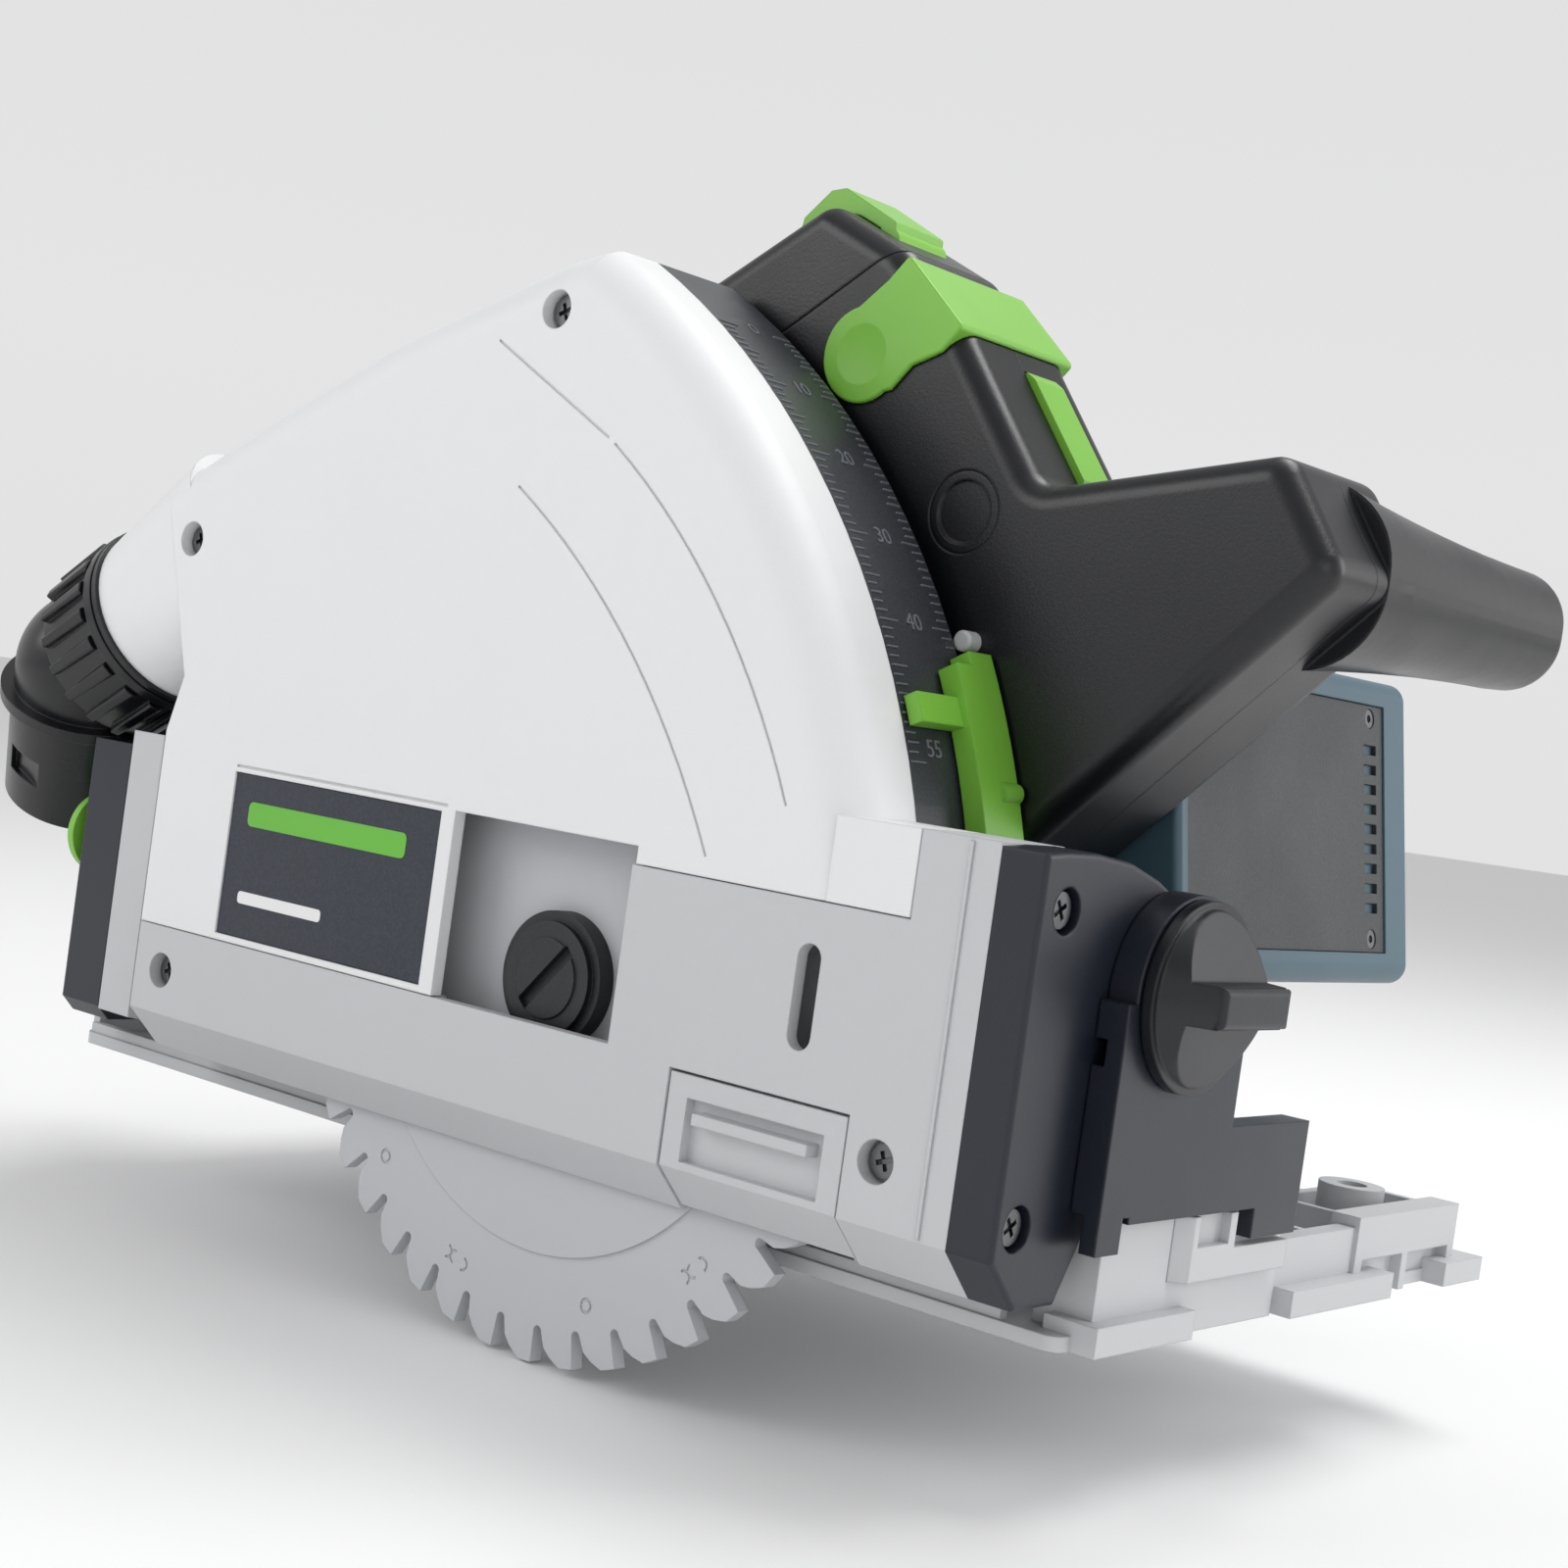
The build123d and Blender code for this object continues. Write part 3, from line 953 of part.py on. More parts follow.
with BuildPart() as switch_body:
    box = [along_post(16.0, -8.0), along_post(26.0, -8.0), along_post(26.0, -14.0), along_post(16.0, -14.0)]
    prism(box, 60.0, 66.0)
    stud_x, stud_z = along_post(24.0, -7.6)
    drum(stud_x, stud_z, 0.9, 61.5, 64.5)
save(switch_body.part, "switch_body")

# lock slide: a thin saddle over the head with a thumb dimple on each side
LOCK_LOBE = (22.6, 158.9)
LOCK = [
    (23.0, 151.0), (30.0, 152.6), (34.0, 157.0), along_head(22.6, -5.0),
    along_head(22.6, 1.1), along_head(3.6, 1.1), along_head(3.6, -5.0), (18.5, 166.0), (16.0, 158.0),
]
with BuildPart() as lock_slide:
    prism(LOCK, UNIT_NEAR - 1.0, UNIT_FAR + 1.0, radius=1.0)
    drum(LOCK_LOBE[0], LOCK_LOBE[1], 8.9, UNIT_NEAR - 1.0, UNIT_FAR + 1.0)
    ends = lock_slide.faces().sort_by(Axis.Y)
    fillet(list(ends[0].edges()) + list(ends[-1].edges()), 0.5)
    for depth in (UNIT_NEAR - 1.0 - 31.1, UNIT_FAR + 1.0 + 31.1):
        with Locations((LOCK_LOBE[0], COVER_Y + depth, LOCK_LOBE[1])):
            Sphere(31.6, mode=Mode.SUBTRACT)
    add(lock_room, mode=Mode.SUBTRACT)
    tongue = [along_head(9.0, 0.3), along_head(13.6, 0.3), along_head(13.6, -6.0), along_head(9.0, -6.0)]
    prism(tongue, 60.3, 65.7)
save(lock_slide.part, "lock_slide")

# fast-change lever on top of the cap
with BuildPart() as top_lever:
    lever = [(-4.6, 182.4), (-3.8, 186.6), (2.0, 191.6), (5.6, 192.0), (18.4, 185.4), (18.4, 181.0), (8.0, 170.0)]
    prism(lever, 51.0, 66.0, radius=0.8)
    add(lock_room, mode=Mode.SUBTRACT)
    drum(16.8, 181.6, 2.9, 51.0, 66.0)
    prism([(15.0, 186.0), (18.4, 184.6), (18.4, 181.5), (15.0, 181.5)], 51.0, 66.0)
    drum(16.8, 181.6, 1.26, 45, 80, Mode.SUBTRACT)
save(top_lever.part, "top_lever")

with BuildPart() as lever_pin:
    drum(16.8, 181.6, 1.2, 47.2, 69.8)
save(lever_pin.part, "lever_pin")

# ---- motor housing with the battery mount ---------------------------------------------------------
HOUSING_R = 27.0
HOUSING_FAR = 150.0
with BuildPart() as motor_housing:
    drum(MOTOR_X, MOTOR_Z, HOUSING_R, UNIT_FAR, HOUSING_FAR)
    battery_bar(-38.6, -34.6, -27.0, 27.0, 78.0, 164.0)
    battery_bar(-60.0, -37.0, -24.0, 16.0, 80.0, 84.0)
    battery_bar(-60.0, -37.0, -24.0, 16.0, 112.0, 116.0)
    battery_bar(-60.0, -37.0, -24.0, 16.0, 146.0, 150.0)
    # T rails that hold the battery
    for v in (-18.0, 18.0):
        battery_bar(-35.0, -31.6, v - 1.6, v + 1.6, 84.0, 160.0)
        battery_bar(-32.0, -30.4, v - 3.0, v + 3.0, 84.0, 160.0)
    drum(MOTOR_X, MOTOR_Z, HOUSING_R - SHELL, UNIT_FAR - 1, HOUSING_FAR + 1, Mode.SUBTRACT)
    # ring rib that carries the motor
    drum(MOTOR_X, MOTOR_Z, HOUSING_R - 1, 96.0, 100.0)
    drum(MOTOR_X, MOTOR_Z, 16.05, 90.0, 110.0, Mode.SUBTRACT)
save(motor_housing.part, "motor_housing")

with BuildPart() as motor_end_cap:
    drum(MOTOR_X, MOTOR_Z, HOUSING_R, HOUSING_FAR, HOUSING_FAR + 7.0)
    fillet(motor_end_cap.faces().sort_by(Axis.Y)[-1].edges(), 3.0)
    drum(MOTOR_X, MOTOR_Z, HOUSING_R - SHELL, HOUSING_FAR - 1, HOUSING_FAR + 4.4, Mode.SUBTRACT)
    for i in range(7):
        z = MOTOR_Z - 15 + 5 * i
        slab(MOTOR_X - 14, MOTOR_X + 14, HOUSING_FAR + 4, HOUSING_FAR + 8, z - 1.1, z + 1.1, Mode.SUBTRACT)
save(motor_end_cap.part, "motor_end_cap")

with BuildPart() as control_board:
    slab(MOTOR_X - 19, MOTOR_X + 19, 126.0, 127.6, MOTOR_Z - 14, MOTOR_Z + 14)
    slab(0.0, 10.0, 127.6, 131.0, MOTOR_Z - 6, MOTOR_Z + 6)
    slab(16.0, 24.0, 127.6, 134.0, MOTOR_Z - 8, MOTOR_Z + 2)
save(control_board.part, "control_board")

# ---- battery ---------------------------------------------------------------------------------------
BAT_NEAR = 77.0
BAT_FAR = 170.0
PLATE_NEAR = 80.0
PLATE_FAR = 159.5
CORNERS = [(v, d) for v in (-22.2, 22.4) for d in (PLATE_NEAR + 4.5, PLATE_FAR - 5.6)]


def battery_peg(u0, u1, v, depth, radius, mode=Mode.ADD):
    """Round block along the battery's outward direction."""
    base = battery_plane(depth)
    spot = base.origin + base.x_dir * u0 + base.y_dir * v
    with BuildSketch(Plane(origin=spot, z_dir=base.x_dir), mode=Mode.PRIVATE) as profile:
        Circle(radius)
    extrude(profile.sketch, amount=u1 - u0, mode=mode)


with BuildPart() as battery_case:
    battery_bar(-34.0, 0.0, -31.0, 31.0, BAT_NEAR, BAT_FAR, radius=4.0)
    fillet(battery_case.faces().sort_by(Axis.Y)[0].edges(), 1.6)
    fillet(battery_case.faces().sort_by(Axis.Y)[-1].edges(), 1.6)
    battery_bar(-26.0, -3.2, -28.0, 28.0, BAT_NEAR + 3, BAT_FAR - 3, Mode.SUBTRACT)
    battery_bar(-1.4, 2.0, -25.0, 25.2, PLATE_NEAR, PLATE_FAR, Mode.SUBTRACT)
    for v in (-18.0, 18.0):
        battery_bar(-36.0, -31.4, v - 2.0, v + 2.0, BAT_NEAR - 1, 161.0, Mode.SUBTRACT)
        battery_bar(-32.2, -30.0, v - 3.4, v + 3.4, BAT_NEAR - 1, 161.0, Mode.SUBTRACT)
    battery_bar(-21.2, -10.8, -6.2, 6.2, BAT_FAR - 4, BAT_FAR + 1, Mode.SUBTRACT)
save(battery_case.part, "battery_case")

with BuildPart() as battery_plate:
    battery_bar(-1.4, -0.4, -24.85, 25.05, PLATE_NEAR + 0.15, PLATE_FAR - 0.15)
    for i in range(9):
        v = -16.0 + 4.0 * i
        battery_bar(-3, 1, v - 1.0, v + 1.0, PLATE_FAR - 8.4, PLATE_FAR - 3.0, Mode.SUBTRACT)
    for v, d in CORNERS:
        battery_peg(-3.0, 1.0, v, d, 2.0, Mode.SUBTRACT)
save(battery_plate.part, "battery_plate")

with BuildPart() as battery_screws:
    for v, d in CORNERS:
        battery_peg(-1.4, -0.6, v, d, 1.9)
        battery_peg(-1.1, 0.0, v, d, 0.8, Mode.SUBTRACT)
save(battery_screws.part, "battery_screws")

with BuildPart() as battery_cells:
    for v in (-18.4, 0.0, 18.4):
        with BuildSketch(battery_plane(86.0), mode=Mode.PRIVATE) as cell:
            with Locations((-14.8, v)):
                Circle(7.2)
        extrude(cell.sketch, amount=-50.0)
save(battery_cells.part, "battery_cells")

with BuildPart() as battery_button:
    battery_bar(-21.1, -10.9, -6.1, 6.1, BAT_FAR - 4.4, BAT_FAR + 1.2)
    battery_bar(-22.4, -9.6, -7.4, 7.4, BAT_FAR - 5.6, BAT_FAR - 4.4)
save(battery_button.part, "battery_button")
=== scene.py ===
import math

import bmesh
import bpy
from mathutils import Matrix, Vector


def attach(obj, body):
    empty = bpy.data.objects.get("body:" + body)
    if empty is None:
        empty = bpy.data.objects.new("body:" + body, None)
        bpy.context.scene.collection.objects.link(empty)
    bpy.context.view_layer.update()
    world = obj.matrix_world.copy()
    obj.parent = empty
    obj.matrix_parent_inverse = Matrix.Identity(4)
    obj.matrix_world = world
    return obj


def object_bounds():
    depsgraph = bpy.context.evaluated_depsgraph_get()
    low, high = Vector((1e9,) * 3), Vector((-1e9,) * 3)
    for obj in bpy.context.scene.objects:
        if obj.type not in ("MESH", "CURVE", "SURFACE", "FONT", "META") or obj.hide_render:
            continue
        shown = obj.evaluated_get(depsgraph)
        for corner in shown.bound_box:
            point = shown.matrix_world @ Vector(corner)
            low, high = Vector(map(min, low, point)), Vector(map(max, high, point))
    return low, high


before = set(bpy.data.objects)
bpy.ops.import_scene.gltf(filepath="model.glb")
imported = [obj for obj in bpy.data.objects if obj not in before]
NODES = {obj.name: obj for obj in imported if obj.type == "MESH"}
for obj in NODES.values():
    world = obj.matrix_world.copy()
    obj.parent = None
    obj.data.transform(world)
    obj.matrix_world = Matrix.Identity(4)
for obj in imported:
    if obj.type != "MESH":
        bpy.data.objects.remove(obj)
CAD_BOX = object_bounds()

MM = 0.001
COVER_Y = -40.0 * MM                      # outer face of the blade cover
PIVOT = Vector((-82.0, 0.0, 33.5)) * MM   # plunge pivot, the centre of the depth scale
RIM_R = 155.5 * MM                        # radius of the depth band


# ---- camera ----------------------------------------------------------------------
CAMERA_PLACE = (0.306, -0.350, 0.092)
CAMERA_ANGLES = (39.309, 1.532, 7.958)    # azimuth, elevation and roll, in degrees
LENS_MM = 57.05
SENSOR_MM = 36.0


def make_camera():
    """Camera that looks along an azimuth and elevation, rolled about its own axis."""
    azimuth, elevation, roll = (math.radians(a) for a in CAMERA_ANGLES)
    forward = Vector((
        -math.sin(azimuth) * math.cos(elevation),
        math.cos(azimuth) * math.cos(elevation),
        -math.sin(elevation),
    ))
    right = forward.cross(Vector((0, 0, 1))).normalized()
    up = right.cross(forward)
    turned_right = right * math.cos(roll) + up * math.sin(roll)
    turned_up = up * math.cos(roll) - right * math.sin(roll)
    data = bpy.data.cameras.new("camera")
    data.lens = LENS_MM
    data.sensor_width = SENSOR_MM
    data.clip_start = 0.01
    data.clip_end = 50.0
    camera = bpy.data.objects.new("camera", data)
    axes = Matrix((turned_right, turned_up, -forward)).transposed().to_4x4()
    camera.matrix_world = Matrix.Translation(CAMERA_PLACE) @ axes
    bpy.context.scene.collection.objects.link(camera)
    bpy.context.scene.camera = camera


make_camera()


# ---- materials -------------------------------------------------------------------
CLOUD_SCALE = 38.0         # slow mottling, in cells per metre
ROUGH_SPREAD = 0.05        # how far roughness wanders each way
GRAIN_DEPTH = 0.08 * MM
LEATHER_DEPTH = 0.12 * MM


def plastic(name, color, rough, grain=0.0, grain_mm=0.5, edge_mm=0.35,
            leather=0.0, leather_mm=1.2, metallic=0.0, speck=0.0, mottle=0.04):
    """Moulded surface: tinted mottling, fine eroded grain, softened edges, uneven roughness."""
    mat = bpy.data.materials.new(name)
    mat.use_nodes = True
    tree = mat.node_tree
    n = tree.nodes
    link = tree.links.new
    shader = n["Principled BSDF"]
    shader.inputs["Metallic"].default_value = metallic
    place = n.new("ShaderNodeTexCoord")

    cloud = n.new("ShaderNodeTexNoise")
    cloud.inputs["Scale"].default_value = CLOUD_SCALE
    cloud.inputs["Detail"].default_value = 4.0
    link(place.outputs["Object"], cloud.inputs["Vector"])
    tint = n.new("ShaderNodeMix")
    tint.data_type = "RGBA"
    dark = [c * (1 - mottle) for c in color]
    light = [min(1.0, c * (1 + mottle)) for c in color]
    tint.inputs["A"].default_value = (*dark, 1)
    tint.inputs["B"].default_value = (*light, 1)
    link(cloud.outputs["Fac"], tint.inputs["Factor"])
    colour_out = tint.outputs["Result"]

    fine = n.new("ShaderNodeTexNoise")
    fine.inputs["Scale"].default_value = 1.0 / (grain_mm * MM)
    fine.inputs["Detail"].default_value = 2.5
    fine.inputs["Roughness"].default_value = 0.6
    link(place.outputs["Object"], fine.inputs["Vector"])

    if speck > 0:
        spot = n.new("ShaderNodeMapRange")
        spot.inputs["From Min"].default_value = 0.42
        spot.inputs["From Max"].default_value = 0.66
        spot.inputs["To Min"].default_value = 1.0 - speck
        spot.inputs["To Max"].default_value = 1.0 + speck
        link(fine.outputs["Fac"], spot.inputs["Value"])
        times = n.new("ShaderNodeVectorMath")
        times.operation = "SCALE"
        link(colour_out, times.inputs[0])
        link(spot.outputs["Result"], times.inputs["Scale"])
        colour_out = times.outputs["Vector"]
    link(colour_out, shader.inputs["Base Color"])

    uneven = n.new("ShaderNodeMapRange")
    uneven.inputs["From Min"].default_value = 0.3
    uneven.inputs["From Max"].default_value = 0.7
    uneven.inputs["To Min"].default_value = max(0.05, rough - ROUGH_SPREAD)
    uneven.inputs["To Max"].default_value = min(1.0, rough + ROUGH_SPREAD)
    link(cloud.outputs["Fac"], uneven.inputs["Value"])
    link(uneven.outputs["Result"], shader.inputs["Roughness"])

    soft = n.new("ShaderNodeBevel")
    soft.samples = 4
    soft.inputs["Radius"].default_value = edge_mm * MM
    normal = soft.outputs["Normal"]
    if grain > 0:
        bump = n.new("ShaderNodeBump")
        bump.inputs["Strength"].default_value = grain
        bump.inputs["Distance"].default_value = GRAIN_DEPTH
        link(fine.outputs["Fac"], bump.inputs["Height"])
        link(normal, bump.inputs["Normal"])
        normal = bump.outputs["Normal"]
    if leather > 0:
        cell = n.new("ShaderNodeTexVoronoi")
        cell.feature = "DISTANCE_TO_EDGE"
        cell.inputs["Scale"].default_value = 1.0 / (leather_mm * MM)
        link(place.outputs["Object"], cell.inputs["Vector"])
        hide = n.new("ShaderNodeBump")
        hide.inputs["Strength"].default_value = leather
        hide.inputs["Distance"].default_value = LEATHER_DEPTH
        link(cell.outputs["Distance"], hide.inputs["Height"])
        link(normal, hide.inputs["Normal"])
        normal = hide.outputs["Normal"]
    link(normal, shader.inputs["Normal"])
    return mat


WHITE = plastic(
    "white_shell", (0.77, 0.775, 0.78), 0.50,
    grain=0.35, grain_mm=0.32, edge_mm=0.5, mottle=0.012,
)
GREY = plastic(
    "light_grey_shell", (0.53, 0.54, 0.555), 0.50,
    grain=0.35, grain_mm=0.32, edge_mm=0.45, mottle=0.015,
)
BLADE = plastic(
    "blade_grey", (0.50, 0.515, 0.535), 0.46,
    grain=0.25, grain_mm=0.35, edge_mm=0.3, mottle=0.015,
)
NAVY = plastic(
    "navy_plastic", (0.010, 0.0125, 0.022), 0.36,
    grain=0.18, grain_mm=0.5, edge_mm=0.6, speck=0.1,
)
LABEL = plastic(
    "label_navy", (0.022, 0.027, 0.042), 0.48,
    grain=0.5, grain_mm=0.5, edge_mm=0.3, speck=0.25,
)
BLACK = plastic(
    "black_handle", (0.0045, 0.005, 0.007), 0.34,
    grain=0.35, grain_mm=0.65, edge_mm=0.7, speck=0.15,
)
SHEEN = plastic(
    "black_sheen", (0.006, 0.0065, 0.008), 0.28,
    grain=0.12, grain_mm=0.6, edge_mm=0.5,
)
KNOB = plastic(
    "black_knob", (0.007, 0.008, 0.011), 0.31,
    grain=0.25, grain_mm=0.6, edge_mm=0.7, speck=0.1,
)
BAND = plastic(
    "band_grey", (0.034, 0.037, 0.045), 0.42,
    grain=0.75, grain_mm=0.55, edge_mm=0.3, speck=0.2,
)
MARKS = plastic("band_marks", (0.150, 0.158, 0.175), 0.40, grain=0.2, grain_mm=0.5, edge_mm=0.15)
ARBOR = plastic(
    "arbor_black", (0.012, 0.0135, 0.017), 0.46,
    grain=0.6, grain_mm=0.45, edge_mm=0.3, speck=0.25,
)
LIME = plastic(
    "lime_plastic", (0.195, 0.500, 0.050), 0.40,
    grain=0.12, grain_mm=0.5, edge_mm=0.5, mottle=0.03,
)
TEAL = plastic(
    "battery_teal", (0.060, 0.118, 0.155), 0.42,
    grain=0.2, grain_mm=0.5, edge_mm=0.5, mottle=0.05,
)
PANEL = plastic(
    "battery_panel", (0.040, 0.043, 0.047), 0.50,
    grain=0.8, grain_mm=0.6, leather=0.5, leather_mm=0.9, edge_mm=0.3, speck=0.2,
)
STEEL = plastic(
    "zinc_steel", (0.56, 0.56, 0.57), 0.30,
    grain=0.1, grain_mm=0.3, edge_mm=0.2, metallic=1.0,
)
# zinc screws painted dark: the low base colour is painted shade that stands in for the deep holes
# the screws sit in, not a dark finish
RECESS_SHADE_STEEL = plastic(
    "zinc_with_painted_recess_shade", (0.16, 0.165, 0.17), 0.34,
    grain=0.1, grain_mm=0.3, edge_mm=0.2, metallic=1.0,
)
BRASS = plastic(
    "brass", (0.62, 0.45, 0.20), 0.35,
    grain=0.1, grain_mm=0.3, edge_mm=0.2, metallic=1.0,
)
GEAR = plastic("gear_acetal", (0.72, 0.70, 0.64), 0.42, grain=0.1, grain_mm=0.4, edge_mm=0.2)
COPPER = plastic(
    "copper_rotor", (0.42, 0.17, 0.08), 0.40,
    grain=0.3, grain_mm=0.4, edge_mm=0.2, metallic=0.8,
)
MAGNET = plastic("magnet_grey", (0.07, 0.07, 0.075), 0.5, grain=0.3, grain_mm=0.3, edge_mm=0.2)
BOARD = plastic("board_green", (0.02, 0.11, 0.045), 0.38, grain=0.1, grain_mm=0.4, edge_mm=0.1)
CELL = plastic("cell_jacket", (0.03, 0.05, 0.22), 0.34, grain=0.05, grain_mm=0.5, edge_mm=0.4)

LOOKS = {
    WHITE: ["blade_cover"],
    GREY: [
        "lower_housing", "splinter_guard", "base_plate", "column_ridge", "rear_column",
        "plunge_peg", "front_clip",
    ],
    BLADE: ["blade"],
    NAVY: ["front_cover", "rear_cover", "front_bracket", "rear_bracket"],
    LABEL: ["label_plate"],
    BLACK: [
        "left_handle_shell", "right_handle_shell", "top_cap", "round_plug", "motor_housing",
        "motor_end_cap",
    ],
    SHEEN: ["dust_collar", "dust_elbow", "dust_ring", "switch_body"],
    KNOB: ["front_knob", "rear_knob", "battery_button"],
    BAND: ["depth_band"],
    ARBOR: ["arbor_knob"],
    LIME: ["depth_stop", "lock_slide", "top_lever", "trigger", "undercut_button"],
    TEAL: ["battery_case"],
    PANEL: ["battery_plate"],
    RECESS_SHADE_STEEL: ["cover_screws", "front_cover_screws", "battery_screws"],
    STEEL: ["pivot_pin", "spindle", "motor_can",
            "motor_shaft", "front_knob_stud", "lever_pin", "trigger_pin"],
    BRASS: ["motor_pinion", "spindle_bushes"],
    GEAR: ["output_gear"],
    COPPER: ["motor_rotor"],
    MAGNET: ["motor_magnets"],
    BOARD: ["control_board"],
    CELL: ["battery_cells"],
}
for look, names in LOOKS.items():
    for name in names:
        node = NODES[name]
        node.data.materials.clear()
        node.data.materials.append(look)


# ---- detail pieces ------------------------------------------------------------------
def add_piece(name, bm, look, body, smooth=False):
    """Turns a bmesh into a piece that rides on a body."""
    mesh = bpy.data.meshes.new(name)
    bmesh.ops.recalc_face_normals(bm, faces=bm.faces)
    bm.to_mesh(mesh)
    bm.free()
    for face in mesh.polygons:
        face.use_smooth = smooth
    mesh.materials.append(look)
    piece = bpy.data.objects.new(name, mesh)
    bpy.context.scene.collection.objects.link(piece)
    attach(piece, body)
    return piece


def rim_point(angle, depth, radius):
    """Point over the depth band at an angle about the plunge pivot."""
    a = math.radians(angle)
    return Vector((PIVOT.x + radius * math.cos(a), COVER_Y + depth, PIVOT.z + radius * math.sin(a)))


def rim_bar(bm, angle, near, far, width, height):
    """Low bar with a narrowed top, lying along Y on the depth band."""
    half = math.degrees(width / 2 / RIM_R)
    low, top = RIM_R - 0.1 * MM, RIM_R + height
    lip = 0.12 * MM
    rings = []
    for radius, k, pull in ((low, 1.0, 0.0), (top, 0.55, lip)):
        rings.append([
            bm.verts.new(rim_point(angle - half * k, near + pull, radius)),
            bm.verts.new(rim_point(angle + half * k, near + pull, radius)),
            bm.verts.new(rim_point(angle + half * k, far - pull, radius)),
            bm.verts.new(rim_point(angle - half * k, far - pull, radius)),
        ])
    bm.faces.new(rings[1])
    bm.faces.new(rings[0][::-1])
    for i in range(4):
        j = (i + 1) % 4
        bm.faces.new((rings[0][i], rings[0][j], rings[1][j], rings[1][i]))


# depth scale: marks along both edges of the band and a numeral at every tenth
SCALE_TOP = 54.5           # angle of the zero mark, in degrees about the pivot
SCALE_STEP = 0.62          # angle between marks
MARKS_NEAR = 56            # number of marks on the near edge
LAST_FAR_MARK = 42         # the far edge stops where the unit covers the band
NEAR_EDGE = 17.6 * MM      # depths of the two edges behind the cover face
FAR_EDGE = 37.4 * MM
FAR_SHARE = 0.9            # far marks are this much of the near ones
MARK_LONG, MARK_MIDDLE, MARK_SHORT, MARK_EXTRA = 5.2 * MM, 4.2 * MM, 2.5 * MM, 0.5 * MM
MARK_WIDTH = 0.42 * MM
MARK_HEIGHT = 0.22 * MM
scale = bmesh.new()
for mark in range(MARKS_NEAR):
    angle = SCALE_TOP - SCALE_STEP * mark
    if mark % 10 == 0:
        reach = MARK_LONG
    elif mark % 5 == 0:
        reach = MARK_MIDDLE
    else:
        reach = MARK_SHORT + MARK_EXTRA * (mark % 2)
    rim_bar(scale, angle, NEAR_EDGE, NEAR_EDGE + reach, MARK_WIDTH, MARK_HEIGHT)
    if mark <= LAST_FAR_MARK:
        rim_bar(scale, angle, FAR_EDGE - reach * FAR_SHARE, FAR_EDGE, MARK_WIDTH, MARK_HEIGHT)
add_piece("depth_scale_marks", scale, MARKS, "housing")


NUMERAL_DEPTH = 27.4 * MM
NUMERAL_SIZE = 4.4 * MM
NUMERAL_RAISE = 0.16 * MM


def numeral(text, angle, depth):
    """Raised numeral that reads along Y, with its top towards larger angles."""
    curve = bpy.data.curves.new("numeral", "FONT")
    curve.body = text
    curve.size = NUMERAL_SIZE
    curve.extrude = NUMERAL_RAISE
    curve.align_x = "CENTER"
    curve.align_y = "CENTER"
    flat = bpy.data.objects.new("numeral", curve)
    bpy.context.scene.collection.objects.link(flat)
    a = math.radians(angle)
    out = Vector((math.cos(a), 0, math.sin(a)))
    up = Vector((-math.sin(a), 0, math.cos(a)))
    across = Vector((0, 1, 0))
    spin = Matrix((across, up, out)).transposed().to_4x4()
    flat.matrix_world = Matrix.Translation(rim_point(angle, depth, RIM_R + 0.06 * MM)) @ spin
    bpy.context.view_layer.update()
    mesh = bpy.data.meshes.new_from_object(flat)
    mesh.transform(flat.matrix_world)
    bpy.data.objects.remove(flat)
    bpy.data.curves.remove(curve)
    return mesh


# value, shift along the scale in degrees, depth; the last one sits beside the depth stop
NUMERALS = [(value, 0.1, NUMERAL_DEPTH) for value in (0, 10, 20, 30, 40, 50)]
NUMERALS.append((55, 0.9, 24.6 * MM))
numerals = bmesh.new()
for value, shift, depth in NUMERALS:
    mesh = numeral(str(value), SCALE_TOP - SCALE_STEP * value + shift, depth)
    numerals.from_mesh(mesh)
    bpy.data.meshes.remove(mesh)
add_piece("depth_scale_numerals", numerals, MARKS, "housing")


# plain bars on the label stand in for its lettering
LABEL_FACE = COVER_Y + 0.3 * MM
BAR_GREEN = plastic(
    "bar_green", (0.13, 0.47, 0.04), 0.42,
    grain=0.15, grain_mm=0.4, edge_mm=0.1, mottle=0.03,
)
BAR_WHITE = plastic(
    "bar_white", (0.80, 0.80, 0.80), 0.45,
    grain=0.1, grain_mm=0.4, edge_mm=0.1, mottle=0.02,
)


def rounded_outline(x0, x1, z0, z1, radius, steps=6):
    """Corner-rounded rectangle as (x, z) points."""
    points = []
    for cx, cz, start in (
        (x1 - radius, z1 - radius, 0), (x0 + radius, z1 - radius, 90),
        (x0 + radius, z0 + radius, 180), (x1 - radius, z0 + radius, 270),
    ):
        for i in range(steps + 1):
            a = math.radians(start + 90 * i / steps)
            points.append((cx + radius * math.cos(a), cz + radius * math.sin(a)))
    return points


def label_bar(name, x0, x1, z0, z1, radius, look):
    """Low printed-looking bar with a small chamfer, lying on the label's face."""
    lip = 0.05 * MM
    bm = bmesh.new()
    rings = []
    for y, pull in (
        (LABEL_FACE + 0.05 * MM, 0.0),
        (LABEL_FACE - 0.07 * MM, 0.0),
        (LABEL_FACE - 0.12 * MM, lip),
    ):
        outline = rounded_outline(x0 + pull, x1 - pull, z0 + pull, z1 - pull, radius - pull)
        rings.append([bm.verts.new((x, y, z)) for x, z in outline])
    count = len(rings[0])
    for near, far in zip(rings, rings[1:]):
        for i in range(count):
            j = (i + 1) % count
            bm.faces.new((near[i], near[j], far[j], far[i]))
    bm.faces.new(rings[0])
    bm.faces.new(rings[-1][::-1])
    add_piece(name, bm, look, "housing")


label_bar(
    "label_green_bar", -81.0 * MM, -35.0 * MM, 56.4 * MM, 61.2 * MM, 1.2 * MM,
    BAR_GREEN,
)
label_bar(
    "label_white_bar", -81.0 * MM, -56.0 * MM, 41.2 * MM, 43.6 * MM, 0.8 * MM,
    BAR_WHITE,
)


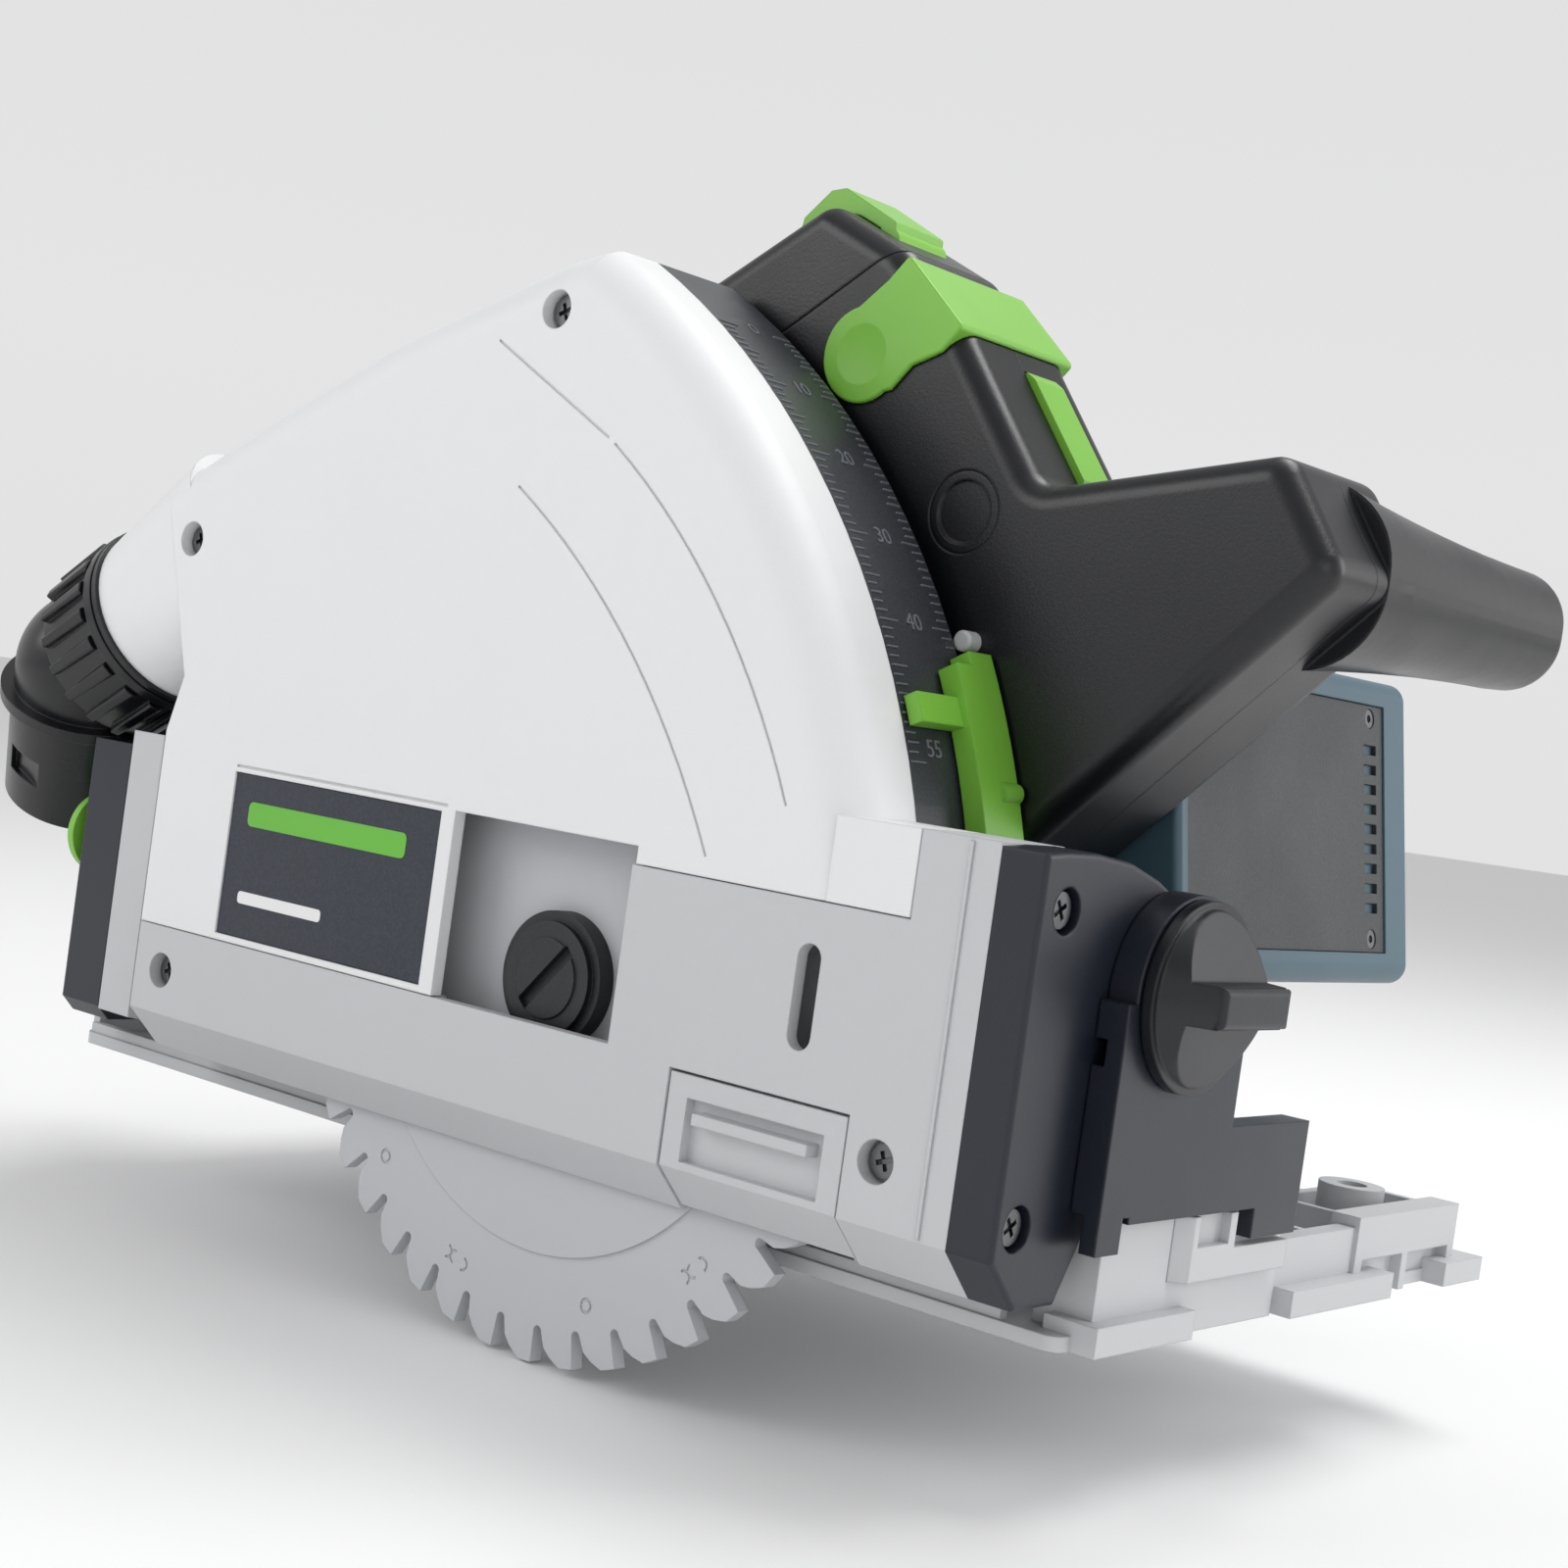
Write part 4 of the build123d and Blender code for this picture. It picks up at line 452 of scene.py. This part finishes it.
# ---- floor and light -------------------------------------------------------------
def make_floor():
    bm = bmesh.new()
    bmesh.ops.create_circle(bm, cap_ends=True, segments=96, radius=6.0)
    mesh = bpy.data.meshes.new("floor")
    bm.to_mesh(mesh)
    bm.free()
    floor = bpy.data.objects.new("floor", mesh)
    floor.location.z = CAD_BOX[0][2] - 0.0004
    bpy.context.scene.collection.objects.link(floor)
    mat = bpy.data.materials.new("floor_white")
    mat.use_nodes = True
    n = mat.node_tree.nodes
    shader = n["Principled BSDF"]
    noise = n.new("ShaderNodeTexNoise")
    noise.inputs["Scale"].default_value = 6.0
    tone = n.new("ShaderNodeMapRange")
    tone.inputs["To Min"].default_value = 0.55
    tone.inputs["To Max"].default_value = 0.65
    mat.node_tree.links.new(noise.outputs["Fac"], tone.inputs["Value"])
    mat.node_tree.links.new(tone.outputs["Result"], shader.inputs["Roughness"])
    shader.inputs["Base Color"].default_value = (0.90, 0.90, 0.90, 1)
    mesh.materials.append(mat)


make_floor()


def area_light(name, place, target, size, size_y, power, tint=(1, 1, 1)):
    data = bpy.data.lights.new(name, "AREA")
    data.shape = "RECTANGLE"
    data.size = size
    data.size_y = size_y
    data.energy = power
    data.color = tint
    lamp = bpy.data.objects.new(name, data)
    lamp.location = place
    aim = Vector(target) - Vector(place)
    lamp.rotation_euler = aim.to_track_quat("-Z", "Y").to_euler()
    bpy.context.scene.collection.objects.link(lamp)


CENTRE = (0.0, 0.02, 0.08)
area_light("key", (-0.75, -1.0, 0.75), CENTRE, 0.9, 0.7, 5.0)
area_light("front_fill", (1.15, -0.75, 0.45), CENTRE, 0.8, 0.8, 1.6)
area_light("top_strip", (0.25, 0.45, 1.15), CENTRE, 1.1, 0.35, 8.0)
area_light("rim", (1.0, 0.95, 0.55), CENTRE, 0.5, 0.9, 5.0)

world = bpy.data.worlds.new("studio")
world.use_nodes = True
sky = world.node_tree
direction = sky.nodes.new("ShaderNodeTexCoord")
split = sky.nodes.new("ShaderNodeSeparateXYZ")
ramp = sky.nodes.new("ShaderNodeValToRGB")
# brightness from straight down (0) through the horizon (0.5) to straight up (1): pale like a
# sweep of paper around the horizon, dim overhead so that dark parts keep their depth
for place, tone in ((0.0, 0.85), (0.56, 1.0), (0.70, 0.95), (0.82, 0.42), (1.0, 0.20)):
    stop = ramp.color_ramp.elements[0] if place == 0.0 else ramp.color_ramp.elements.new(place)
    stop.position = place
    stop.color = (tone, tone, tone * 1.01, 1)
height = sky.nodes.new("ShaderNodeMapRange")
height.inputs["From Min"].default_value = -1.0
sky.links.new(direction.outputs["Generated"], split.inputs["Vector"])
sky.links.new(split.outputs["Z"], height.inputs["Value"])
sky.links.new(height.outputs["Result"], ramp.inputs["Fac"])
sky.links.new(ramp.outputs["Color"], sky.nodes["Background"].inputs["Color"])
sky.nodes["Background"].inputs["Strength"].default_value = 0.78
bpy.context.scene.world = world
bpy.context.scene.view_settings.view_transform = "Standard"
